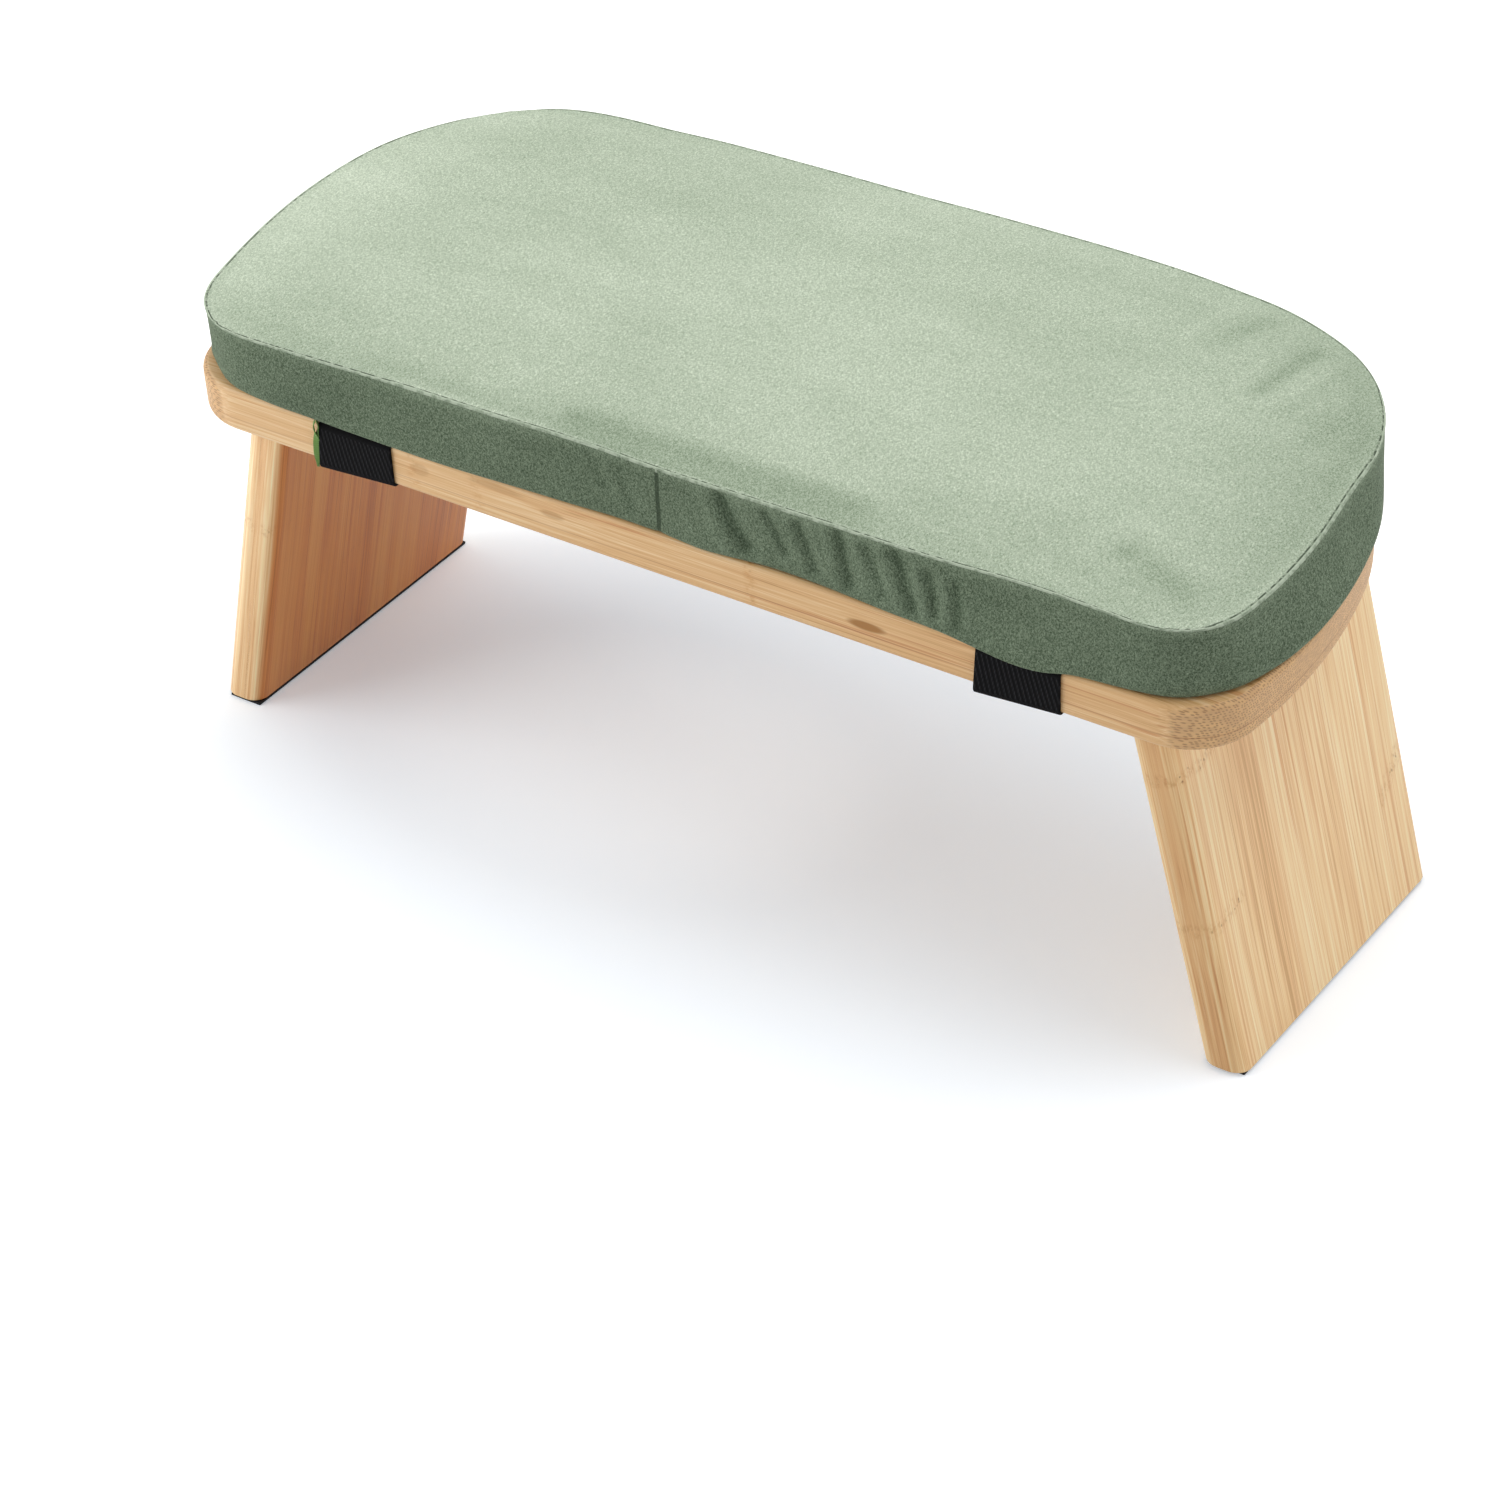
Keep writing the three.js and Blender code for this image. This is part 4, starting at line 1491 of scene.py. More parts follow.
@dataclass
class RibbonTab:
    """A blank folded ribbon that hangs from the cushion's lower seam, seen nearly edge-on."""

    seat: SeatFrame
    x: float = -0.15665
    front: float = -0.1033
    top: float = 0.0204
    reach: float = 0.0215
    width: float = 0.0031
    thickness: float = 0.0004
    eye: float = 0.0007
    half_gap: float = 0.00022
    fold_share: float = 0.03
    drift: tuple[float, float] = (0.0006, 0.0012)
    twist_start: float = math.radians(55)
    twist_end: float = math.radians(-20)
    columns: int = 6
    rows: int = 60

    def _place(self, across: float, along: float) -> Vector:
        """Down one layer of the fold and up the other, twisted, with an eye at the top."""
        down = 1 - abs(1 - 2 * along)
        layer = 1 if along < 0.5 else -1
        part = self.eye * (smooth_step(down, 0.02, 0.10) - smooth_step(down, 0.16, 0.34)) + self.half_gap
        part *= min(1.0, (1 - down) / self.fold_share)
        taper = 0.80 + 0.20 * smooth_step(down, 0.2, 0.6) - 0.68 * smooth_step(down, 0.68, 1.0)
        twist = self.twist_start + (self.twist_end - self.twist_start) * smooth_step(down, 0.18, 0.50)
        flat = (across - 0.5) * self.width * taper
        x = self.x + flat * math.cos(twist) + layer * part * math.sin(twist)
        y = self.front - flat * math.sin(twist) + layer * part * math.cos(twist)
        return Vector((x - self.drift[0] * down, y - self.drift[1] * down, self.top - self.reach * down))

    def build(self) -> bpy.types.Object:
        """Models the tab."""
        tab = wrapped_grid("ribbon_fold", self.columns, self.rows, self._place)
        modify(tab, "SOLIDIFY", thickness=self.thickness, offset=0.0)
        modify(tab, "SUBSURF", levels=1, render_levels=1)
        face_outwards(tab)
        settle(tab, self.seat.matrix)
        smooth(tab, 60.0, weighted=False)
        return hand_over(tab, GREEN_RIBBON.material(), Body.SEAT, "ribbon", "ribbon_tab")


def interpolated(table: Sequence[tuple[float, ...]], share: float, column: int = 1) -> float:
    """Reads a table that runs round an outline, along a smooth curve through its rows.

    Args:
        table: rows that start with a share of the way round, in order.
        share: where to read it.
        column: which value to read.

    Returns:
        The value there.
    """
    share %= 1.0
    before = [(row[0] - 1.0, row[column]) for row in table[-2:]]
    after = [(row[0] + 1.0, row[column]) for row in table[:2]]
    rows = before + [(row[0], row[column]) for row in table] + after
    for last, near, far, following in zip(rows, rows[1:], rows[2:], rows[3:]):
        if near[0] <= share <= far[0]:
            width = far[0] - near[0]
            part = (share - near[0]) / width
            leaving = (far[1] - last[1]) / (far[0] - last[0]) * width
            arriving = (following[1] - near[1]) / (following[0] - near[0]) * width
            curve = near[1] + (far[1] - near[1]) * part * part * (3 - 2 * part)
            return curve + part * (1 - part) * (leaving * (1 - part) - arriving * part)
    raise ValueError(f"no row of the table holds {share}")


class Places:
    """A set of places that can be asked for the nearest."""

    def __init__(self, places: Iterable[Vector]) -> None:
        """Stores the places."""
        listed = list(places)
        self.tree = KDTree(len(listed))
        for number, place in enumerate(listed):
            self.tree.insert(place, number)
        self.tree.balance()

    def distance(self, place: Vector) -> float:
        """How far the nearest of them is."""
        return self.tree.find(place)[2]

    def holds(self, place: Vector) -> bool:
        """Whether one of them is here."""
        return self.distance(place) < TINY * 20


@dataclass(frozen=True)
class Crease:
    """A valley in the cloth with a low ridge on either side of it, along a straight run."""

    start: tuple[float, float]
    end: tuple[float, float]
    half_width: float
    depth: float
    ridge: float = 0.33
    ridge_reach: float = 2.4

    def at(self, first: float, second: float) -> float:
        """The cloth's height at a place: -depth in the valley's middle, and a share of it on the ridges."""
        run = Vector(self.end) - Vector(self.start)
        off = Vector((first, second)) - Vector(self.start)
        share = min(max(off.dot(run) / run.length_squared, 0.0), 1.0)
        distance = (off - run * share).length / self.half_width
        if distance < 1:
            return -self.depth * (1 - distance * distance) ** 2
        if distance < self.ridge_reach:
            part = (distance - 1) / (self.ridge_reach - 1)
            return self.depth * self.ridge * math.sin(math.pi * part) ** 2
        return 0.0


@dataclass
class Cushion:
    """The boxed velvet cushion: a crowned top, a side band between two seams and a drawn-in base.

    The cover is blown up between its seams as cloth, and then its folds and seams are worked in.
    """

    SEAM_LAYER = "seam_line"
    FOLD_LAYER = "fold_line"
    TOP_POINTS = "top_points"
    HELD_POINTS = "held_points"
    SEAM_POINTS = "seam_points"

    seat: SeatFrame
    steps: int = 192
    long_steps: int = 64
    band_rows: int = 6
    lip_rows: int = 3
    top_seam_level: float = 0.0484
    base_level: float = 0.0197
    held_level: float = BOARD_THICKNESS + 0.0012
    seam_clearance: float = 0.0004
    band_front: float = -0.09
    lip_inset: float = 0.012
    lower_rounding: tuple[float, float] = (0.0003, -0.0007)
    crown_cap: float = 0.0058
    crown_reach: float = 0.052
    front_reach: float = 0.024
    band_cap: float = 0.0022
    right_band_cap: float = 0.0010
    right_end: tuple[float, float] = (0.17, 0.21)
    front_zone: tuple[float, float] = (-0.02, -0.07)
    middle_zone: tuple[float, float] = (0.20, 0.10)
    frames: int = 20
    join_shift: float = -0.0025
    clear_of_wood: float = 0.0004
    clear_of_strap: float = 0.0030
    strap_shares: tuple[float, ...] = (0.121, 0.372, 0.622, 0.881)
    strap_half_share: float = 0.019

    # Seams: half their width, how deep they are drawn in and how far their lips stand out
    seam_half_width: float = 0.0006
    seam_depth: float = 0.0004
    seam_bead: float = 0.0003
    seam_line_reach: float = 0.0012

    # Folds in the front band beside its joint, by their places along it and up it
    fold_height: float = 0.0013
    band_folds: tuple[Crease, ...] = (
        Crease((0.0215, 0.0500), (0.0335, 0.0270), 0.0046, 1.00),
        Crease((0.0429, 0.0440), (0.0505, 0.0295), 0.0026, 0.70),
        Crease((0.0560, 0.0435), (0.0630, 0.0260), 0.0028, 0.80),
        Crease((0.0715, 0.0490), (0.0775, 0.0265), 0.0036, 1.00),
        Crease((0.0839, 0.0435), (0.0916, 0.0270), 0.0024, 0.50),
        Crease((0.0955, 0.0450), (0.1040, 0.0250), 0.0034, 0.90),
        Crease((0.1085, 0.0400), (0.1125, 0.0255), 0.0028, 0.85),
        Crease((0.1190, 0.0390), (0.1220, 0.0240), 0.0028, 0.70),
        Crease((-0.0330, 0.0440), (-0.0260, 0.0330), 0.0030, 0.30),
        Crease((-0.0200, 0.0420), (-0.0150, 0.0280), 0.0028, 0.35),
    )

    # Creases in the top at its right corners, and its rolled edge at the front
    crease_height: float = 0.0008
    dent_height: float = 0.0005
    top_creases: tuple[Crease, ...] = (
        Crease((0.1430, 0.0600), (0.1500, 0.0820), 0.0080, 0.35),
        Crease((0.1700, 0.0380), (0.1750, 0.0700), 0.0062, 0.50),
        Crease((0.2000, 0.0200), (0.2040, 0.0420), 0.0070, 0.20),
        Crease((0.1720, -0.0700), (0.2000, -0.0810), 0.0085, 0.55, 0.20),
        Crease((-0.0400, -0.0960), (0.0750, -0.0960), 0.0150, 0.95, 0.0),
    )

    # How far the top seam stands out from its plan, at shares of the way round
    top_ease_shares: tuple[tuple[float, float], ...] = (
        (0.000, -0.0024), (0.035, -0.0028), (0.070, -0.0034), (0.092, -0.0038), (0.120, -0.0058),
        (0.140, -0.0056), (0.160, -0.0044), (0.180, -0.0022), (0.205, -0.0030), (0.235, -0.0050),
        (0.262, -0.0064), (0.285, -0.0040), (0.310, -0.0024), (0.335, -0.0022), (0.360, -0.0039),
        (0.390, -0.0038), (0.415, -0.0023), (0.440, -0.0014), (0.480, -0.0017), (0.510, -0.0028),
        (0.545, -0.0032), (0.580, -0.0041), (0.602, -0.0050), (0.622, -0.0036), (0.648, 0.0002),
        (0.690, 0.0006), (0.715, 0.0013), (0.745, 0.0008), (0.790, -0.0007), (0.826, 0.0005),
        (0.866, -0.0002), (0.904, -0.0018), (0.940, -0.0024), (0.970, -0.0034),
    )

    # The lower seam at shares of the way round: how far it stands out from the board, and its level
    lower_edge_shares: tuple[tuple[float, float, float], ...] = (
        (0.000, 0.0003, 0.0200), (0.014, 0.0017, 0.0199), (0.036, -0.0011, 0.0201),
        (0.058, -0.0005, 0.0200), (0.078, 0.0015, 0.0199), (0.095, 0.0022, 0.0195),
        (0.110, 0.0036, 0.0176), (0.123, 0.0044, 0.0165), (0.133, 0.0034, 0.0170),
        (0.145, 0.0012, 0.0195), (0.159, -0.0006, 0.0201), (0.173, -0.0036, 0.0202),
        (0.186, -0.0053, 0.0202), (0.201, -0.0022, 0.0202), (0.216, 0.0008, 0.0200),
        (0.238, 0.0025, 0.0199), (0.290, 0.0024, 0.0199), (0.335, 0.0010, 0.0200),
        (0.372, 0.0030, 0.0186), (0.410, 0.0014, 0.0199), (0.500, 0.0020, 0.0199),
        (0.590, 0.0014, 0.0199), (0.622, 0.0030, 0.0186), (0.665, 0.0008, 0.0200),
        (0.710, 0.0000, 0.0200), (0.760, -0.0014, 0.0201), (0.803, -0.0012, 0.0201),
        (0.816, -0.0054, 0.0202), (0.825, -0.0046, 0.0202), (0.836, -0.0004, 0.0200),
        (0.855, 0.0019, 0.0199), (0.870, 0.0024, 0.0194), (0.900, 0.0028, 0.0190),
        (0.922, 0.0028, 0.0194), (0.942, 0.0021, 0.0199), (0.965, 0.0011, 0.0200),
        (0.982, -0.0001, 0.0200),
    )

    @property
    def crown_level(self) -> float:
        """The level above which the cloth belongs to the crown."""
        return self.top_seam_level + self.seam_clearance

    def _share(self, number: float) -> float:
        """How far round a step of the ring is. Step 0 is at the joint of the side band."""
        return number / self.steps + self.join_shift / BOARD_OUTLINE.perimeter

    def _top_seam(self, number: float) -> Vector:
        """The top seam's place at a step of the ring."""
        share = self._share(number)
        place, outwards = CUSHION_OUTLINE.at(share)
        place = place + outwards * interpolated(self.top_ease_shares, share)
        place.z = self.top_seam_level
        return place

    def _lower(self, number: float, inwards: float) -> Vector:
        """A place on the cushion's base, at a share of the way in over the lip."""
        share = self._share(number)
        place, outwards = BOARD_OUTLINE.at(share)
        start = interpolated(self.lower_edge_shares, share, 1)
        level = interpolated(self.lower_edge_shares, share, 2)
        out = start - inwards * (start + self.lip_inset)
        if inwards > 0:
            place = place + outwards * out
            place.z = max(level + (self.base_level - level) * inwards, self._clear_level(share, out))
        else:
            place = place + outwards * (out + self.lower_rounding[0])
            place.z = max(level + self.lower_rounding[1], self._clear_level(share, out))
        return place

    def _clear_level(self, share: float, out: float) -> float:
        """How high the cover has to pass over the board's edge, and over a strap on it."""
        over_strap = max(
            smooth_step(abs(share % 1.0 - place), self.strap_half_share * 1.5, self.strap_half_share)
            for place in self.strap_shares
        )
        gap = self.clear_of_wood + (self.clear_of_strap - self.clear_of_wood) * over_strap
        radius = BOARD_EDGE_RADIUS + gap
        past = out + BOARD_EDGE_RADIUS
        if past <= 0:
            return BOARD_THICKNESS + gap
        if past >= radius:
            return 0.0
        return BOARD_THICKNESS - BOARD_EDGE_RADIUS + math.sqrt(radius * radius - past * past)

    def _panel(self, name: str, ring: Sequence[Vector]) -> bpy.types.Object:
        """A grid that fills a ring, by blending its four sides."""
        long, short = self.long_steps, self.steps // 2 - self.long_steps
        half = long // 2

        def at(step: float) -> Vector:
            """The ring's place at a step."""
            return ring[round(step) % self.steps]

        corners = [at(-half), at(half), at(half + short), at(half + short + long)]

        def place(u: float, v: float) -> Vector:
            """The sides blended, less the corners that were counted twice."""
            front, rear = at(-half + u * long), at(half + short + (1 - u) * long)
            right, left = at(half + v * short), at(-half - v * short)
            sides = front * (1 - v) + rear * v + left * (1 - u) + right * u
            flat = (corners[0] * (1 - u) + corners[1] * u) * (1 - v)
            flat = flat + (corners[3] * (1 - u) + corners[2] * u) * v
            return sides - flat

        return wrapped_grid(name, long, short, place)

    def _cage(self) -> bpy.types.Object:
        """The cover before it is blown up: band, lip, top and base, merged into one closed form."""
        steps = self.steps

        def band(u: float, v: float) -> Vector:
            """A place on the side band, which swells a little above its foot."""
            number = round(u * steps)
            low, high = self._lower(number, 0.0), self._top_seam(number)
            place = low.lerp(high, 1 - (1 - v) ** 1.6)
            place.z = low.z + (high.z - low.z) * v
            return place

        def lip(u: float, v: float) -> Vector:
            """A place on the strip that turns in over the board."""
            return self._lower(round(u * steps), 1 - v)

        side = wrapped_grid("velvet_cushion", steps, self.band_rows, band)
        lower = wrapped_grid("lip", steps, self.lip_rows, lip)
        top = self._panel("top", [self._top_seam(i) for i in range(steps)])
        group = top.vertex_groups.new(name=self.TOP_POINTS)
        group.add([vertex.index for vertex in top.data.vertices], 1.0, "REPLACE")
        base = self._panel("base", [self._lower(i, 1.0) for i in range(steps)])
        return join([side, lower, top, base], merge=0.00002)

    @staticmethod
    def _members(cover: bpy.types.Object, name: str) -> set[int]:
        """The numbers of the points that belong to a vertex group."""
        group = cover.vertex_groups[name].index
        return {
            vertex.index
            for vertex in cover.data.vertices
            if any(entry.group == group and entry.weight > 0.75 for entry in vertex.groups)
        }

    def _rings(self) -> tuple[Places, Places]:
        """The places of the top and the lower seam, to be looked up."""
        numbers = range(self.steps)
        return Places(self._top_seam(i) for i in numbers), Places(self._lower(i, 0.0) for i in numbers)

    def _inflate(self, cover: bpy.types.Object) -> None:
        """Blows the cover up as cloth between its seams."""
        top_ring, lower_ring = self._rings()
        held = cover.vertex_groups.new(name=self.HELD_POINTS)
        for vertex in cover.data.vertices:
            place = vertex.co
            fixed = place.z < self.held_level or top_ring.holds(place) or lower_ring.holds(place)
            held.add([vertex.index], 1.0 if fixed else 0.0, "REPLACE")
        take(cover)
        cloth = cover.modifiers.new("cloth", "CLOTH")
        give(cloth.settings, {
            "quality": 6,
            "mass": 0.25,
            "tension_stiffness": 12,
            "compression_stiffness": 12,
            "bending_stiffness": 0.4,
            "use_pressure": True,
            "uniform_pressure_force": 4.0,
            "vertex_group_mass": self.HELD_POINTS,
            "shrink_min": -0.012,
        })
        cloth.settings.effector_weights.gravity = 0.0
        cloth.point_cache.frame_start = 1
        cloth.point_cache.frame_end = self.frames
        scene = bpy.context.scene
        for number in range(1, self.frames + 1):
            scene.frame_set(number)
        bpy.ops.object.modifier_apply(modifier=cloth.name)
        scene.frame_set(1)

    def _settle_cloth(self, cover: bpy.types.Object, before: Sequence[Vector]) -> None:
        """Caps how far the cloth moved, and evens its small ripples out between the seams."""
        top_ring, lower_ring = self._rings()
        tops = self._members(cover, self.TOP_POINTS)
        for vertex, start in zip(cover.data.vertices, before):
            moved = vertex.co - start
            cap = self._cap(start, vertex.index in tops or top_ring.holds(start), top_ring)
            if moved.length > TINY:
                vertex.co = start + moved * (cap * math.tanh(moved.length / cap) / moved.length)
        crown = Places(cover.data.vertices[number].co for number in tops)
        kept = (crown, top_ring, lower_ring)

        def crowned(place: Vector, _: Vector) -> bool:
            """Whether a point is on the top, inside its seam."""
            return crown.holds(place) and not top_ring.holds(place)

        def banded(place: Vector, _: Vector) -> bool:
            """Whether a point is on the side band, between the seams."""
            return place.z > self.held_level and not any(held.holds(place) for held in kept)

        with editing(cover):
            for chosen, rounds in ((crowned, 10), (banded, 3)):
                pick(cover, Element.VERTEX, chosen)
                bpy.ops.mesh.vertices_smooth(factor=0.5, repeat=rounds)

    def _cap(self, start: Vector, on_top: bool, top_ring: Places) -> float:
        """How far a point may move.

        Args:
            start: its place before the cloth.
            on_top: whether it belongs to the top.
            top_ring: the places of the top seam.

        Returns:
            The most that it may move: on the top less near the seam, on the band less at the right end.
        """
        if not on_top:
            right = smooth_step(start.x, *self.right_end)
            return self.band_cap + (self.right_band_cap - self.band_cap) * right
        front = smooth_step(start.y, *self.front_zone) * smooth_step(abs(start.x), *self.middle_zone)
        reach = self.crown_reach + (self.front_reach - self.crown_reach) * front
        share = min(top_ring.distance(start) / reach, 1.0)
        return self.crown_cap * (1 - (1 - share) ** 2) + TINY

    def _fold_height(self, place: Vector) -> float:
        """How high the folds and creases of the cloth stand at a place, about -1 to 0.3."""
        x, y, z = place
        if z > self.crown_level:
            return sum(crease.at(x, y) for crease in self.top_creases)
        if y > self.band_front or z < BOARD_THICKNESS:
            return 0.0
        ends = smooth_step(z, BOARD_THICKNESS, BOARD_THICKNESS + 0.005)
        ends *= smooth_step(z, self.top_seam_level, self.top_seam_level - 0.003)
        wander = noise.noise(Vector((x * 60, 0.4, z * 60))) * 0.0012
        return sum(fold.at(x + wander, z) for fold in self.band_folds) * ends

    def _fold(self, cover: bpy.types.Object) -> None:
        """Works the folds into the front band, and creases and shallow dents into the top."""
        for vertex in cover.data.vertices:
            x, y, z = vertex.co
            height = self._fold_height(vertex.co)
            if z > self.crown_level:
                slow = noise.noise(Vector((x * 11, y * 14, 2.7)))
                depth = self.dent_height * slow + self.crease_height * height
                vertex.co.z += depth * smooth_step(z, self.crown_level, self.crown_level + 0.0016)
            elif y < self.band_front:
                vertex.co.y -= self.fold_height * height

    def _mark_seams(self, cover: bpy.types.Object) -> None:
        """Marks the top seam and the joint in the front band on the cage."""
        top_ring, _ = self._rings()
        start = self._top_seam(0)
        near, front = 0.0005, -0.08
        group = cover.vertex_groups.new(name=self.SEAM_POINTS)
        for vertex in cover.data.vertices:
            place = vertex.co
            joint = abs(place.x - start.x) < near and place.y < front and place.z > BOARD_THICKNESS
            if joint and place.z < start.z or top_ring.holds(place):
                group.add([vertex.index], 1.0, "REPLACE")

    @staticmethod
    def _select_between(cover: bpy.types.Object, chosen: set[int]) -> None:
        """Selects the edges that run between chosen points, in edit mode."""
        bpy.context.tool_settings.mesh_select_mode = (False, True, False)
        mesh = bmesh.from_edit_mesh(cover.data)
        for edge in mesh.edges:
            edge.select_set(all(vertex.index in chosen for vertex in edge.verts))
        bmesh.update_edit_mesh(cover.data)

    def _sharpen(self, cover: bpy.types.Object) -> None:
        """Keeps the seams crisp through the next subdivision."""
        on_seams = self._members(cover, self.SEAM_POINTS)
        with editing(cover):
            self._select_between(cover, on_seams)
            bpy.ops.transform.edge_crease(value=1.0)

    def _sew(self, cover: bpy.types.Object) -> Places:
        """Makes each seam two narrow strips: the top one's middle stands out, the joint's is drawn in.

        Args:
            cover: the cover after its first subdivision.

        Returns:
            Close places along the middle of the seams.
        """
        on_seams = self._members(cover, self.SEAM_POINTS)
        lines = Places(cover.data.vertices[number].co for number in sorted(on_seams))
        with editing(cover):
            self._select_between(cover, on_seams)
            bevel(self.seam_half_width, 2)
        near = self.seam_half_width * 0.7
        middles = {vertex.index for vertex in cover.data.vertices if lines.distance(vertex.co) < near}
        for number in middles:
            vertex = cover.data.vertices[number]
            on_top_seam = vertex.co.z > self.top_seam_level - self.seam_half_width * 2.5
            vertex.co += vertex.normal * (self.seam_bead if on_top_seam else -self.seam_depth)
        runs = [
            [cover.data.vertices[number].co for number in edge.vertices]
            for edge in cover.data.edges
            if set(edge.vertices) <= middles
        ]
        return Places(first.lerp(last, i / 10) for first, last in runs for i in range(11))

    def _line(self, cover: bpy.types.Object, middles: Places) -> None:
        """Marks how near each point is to a seam, and how the folds run, for the velvet's painted seam light
        and shade and its painted fold shade.
        """
        for name in (self.SEAM_LAYER, self.FOLD_LAYER):
            cover.data.attributes.new(name, "FLOAT", "POINT")
        seams, folds = (cover.data.attributes[name] for name in (self.SEAM_LAYER, self.FOLD_LAYER))
        for seam, fold, vertex in zip(seams.data, folds.data, cover.data.vertices):
            seam.value = smooth_step(middles.distance(vertex.co), self.seam_line_reach, 0.0)
            fold.value = self._fold_height(vertex.co)

    def build(self) -> bpy.types.Object:
        """Models the cushion."""
        cover = self._cage()
        self._mark_seams(cover)
        before = [vertex.co.copy() for vertex in cover.data.vertices]
        swell = self._inflate
        swell(cover)
        self._settle_cloth(cover, before)
        self._sharpen(cover)
        modify(cover, "SUBSURF", levels=1, render_levels=1)
        middles = self._sew(cover)
        modify(cover, "SUBSURF", levels=1, render_levels=1)
        self._line(cover, middles)
        self._fold(cover)
        Zip(self.seat, cover).build()
        settle(cover, self.seat.matrix)
        smooth(cover, 80.0, weighted=False)
        finish = GREEN_VELVET.material(self.seat.matrix)
        hand_over(cover, finish, Body.SEAT, "velvet", "cushion_cover", "cushion_foam")
        return cover


@dataclass
class Zip:
    """The zip in the rear of the side band: its tape, its coil and its slider with a pull."""

    seat: SeatFrame
    cover: bpy.types.Object
    length: float = 0.230
    height: float = 0.007
    level: float = 0.034
    lift: float = 0.0003
    tape_thickness: float = 0.0005
    coil_pitch: float = 0.0015
    coil_lean: float = math.radians(14)
    coil_size: tuple[float, float, float] = (0.0011, 0.0009, 0.0026)
    slider_size: tuple[float, float, float] = (0.0085, 0.0024, 0.0056)
    bridge_size: tuple[float, float] = (0.0052, 0.0014)
    bridge_rim: float = 0.0003
    pull_size: tuple[float, float, float] = (0.0042, 0.0010, 0.0140)
    slider_place: float = 0.1085
    columns: int = 150
    rows: int = 6

    def __post_init__(self) -> None:
        """Prepares the band's surface for measuring."""
        take(self.cover)
        points = [vertex.co.copy() for vertex in self.cover.data.vertices]
        faces = [tuple(face.vertices) for face in self.cover.data.polygons]
        self.surface = BVHTree.FromPolygons(points, faces)

    def _on_band(self, x: float, level: float, off: float) -> Vector:
        """A place at a distance off the rear band's surface, seen from behind."""
        found, normal, _, _ = self.surface.ray_cast(Vector((x, 0.3, level)), Vector((0, -1, 0)))
        return found + normal * off

    def _tape(self) -> bpy.types.Object:
        """The two woven tapes, as one strip with rounded ends."""
        def place(u: float, v: float) -> Vector:
            """A place on the tape, from its right end."""
            level = self.level + (v - 0.5) * self.height
            return self._on_band((0.5 - u) * self.length, level, self.lift)

        tape = wrapped_grid("zip_tapes", self.columns, self.rows, place)
        modify(tape, "SOLIDIFY", thickness=self.tape_thickness, offset=0.0)
        break_edges(tape, self.tape_thickness * 0.4, 2, 50.0)
        return tape

    def _coil(self) -> bpy.types.Object:
        """The coil: one turn modelled once and copied along the tape."""
        size = Vector(self.coil_size)
        turn = block("zip_coil", -size / 2, size / 2)
        with editing(turn, True):
            bevel(size.y * 0.4, 2)
        count = int(self.length / self.coil_pitch)
        off = self.lift + self.tape_thickness + size.y * 0.25
        turns = []
        for number in range(count):
            x = (number + 0.5) * self.coil_pitch - count * self.coil_pitch / 2
            copy = linked("coil_turn", turn.data.copy())
            lean = self.coil_lean if number % 2 else -self.coil_lean
            place = Matrix.Translation(self._on_band(x, self.level, off))
            settle(copy, place @ Matrix.Rotation(lean, 4, "Y"))
            turns.append(copy)
        bpy.data.objects.remove(turn)
        coil = join(turns)
        coil.name = "zip_coil"
        return coil

    def _slider(self) -> bpy.types.Object:
        """The slider's body with its bridge, and the pull hanging from it."""
        size = Vector(self.slider_size)
        body = block("zip_slider", -size / 2, size / 2)
        with editing(body):
            pick(body, Element.FACE, lambda _, normal: normal.x > 0.9)
            bpy.ops.transform.resize(value=(1, 1, 0.62))
            bpy.ops.mesh.select_all(action="SELECT")
            bevel(size.y * 0.28, 3)
        half_wide, half_high = (value / 2 for value in self.bridge_size)
        low = (-half_wide, size.y * 0.45, -half_high)
        bridge = block("bridge", low, (half_wide, size.y * 1.1, half_high))
        with editing(bridge):
            pick(bridge, Element.FACE, lambda _, normal: normal.y > 0.9)
            bpy.ops.transform.resize(value=(0.6, 1, 1))
            bpy.ops.mesh.select_all(action="SELECT")
            bevel(self.bridge_rim, 2)
        wide, thick, long = self.pull_size
        pull = block("pull", (-wide / 2, size.y * 0.75, -long), (wide / 2, size.y * 0.75 + thick, 0.001))
        with editing(pull):
            pick(pull, Element.EDGE, lambda _, run: abs(run.y) > 0.9)
            bevel(wide * 0.35, 5)
            pick(pull, Element.FACE, lambda _, normal: abs(normal.y) > 0.9)
            bpy.ops.mesh.inset(thickness=wide * 0.14, depth=-thick * 0.18)
        slider = join([body, bridge, pull])
        off = self.lift + self.tape_thickness + size.y * 0.4
        settle(slider, Matrix.Translation(self._on_band(self.slider_place, self.level, off)))
        return slider

    def build(self) -> None:
        """Models the zip."""
        tape, coil, slider = self._tape(), self._coil(), self._slider()
        for piece in (tape, coil, slider):
            settle(piece, self.seat.matrix)
            smooth(piece, 40.0, weighted=False)
        finish = GREEN_TAPE.material(self.seat.matrix)
        hand_over(tape, finish, Body.SEAT, "zip_tape", "cushion_zip")
        hand_over(coil, finish, Body.SEAT, "zip_tape")
        hand_over(slider, HINGE_STEEL.material(self.seat.matrix), Body.SEAT, "hinge_steel")


@dataclass(frozen=True)
class Lamp:
    """A square soft lamp that points at the bench."""

    name: str
    place: tuple[float, float, float]
    size: float
    watts: float
    aim: tuple[float, float, float] = (0.0, 0.0, 0.1)

    def hang(self) -> None:
        """Adds the lamp to the scene."""
        data = bpy.data.lights.new(self.name, "AREA")
        data.size = self.size
        data.energy = self.watts
        obj = linked(self.name, data)
        obj.location = self.place
        obj.rotation_euler = (Vector(self.place) - Vector(self.aim)).to_track_quat("Z", "Y").to_euler()


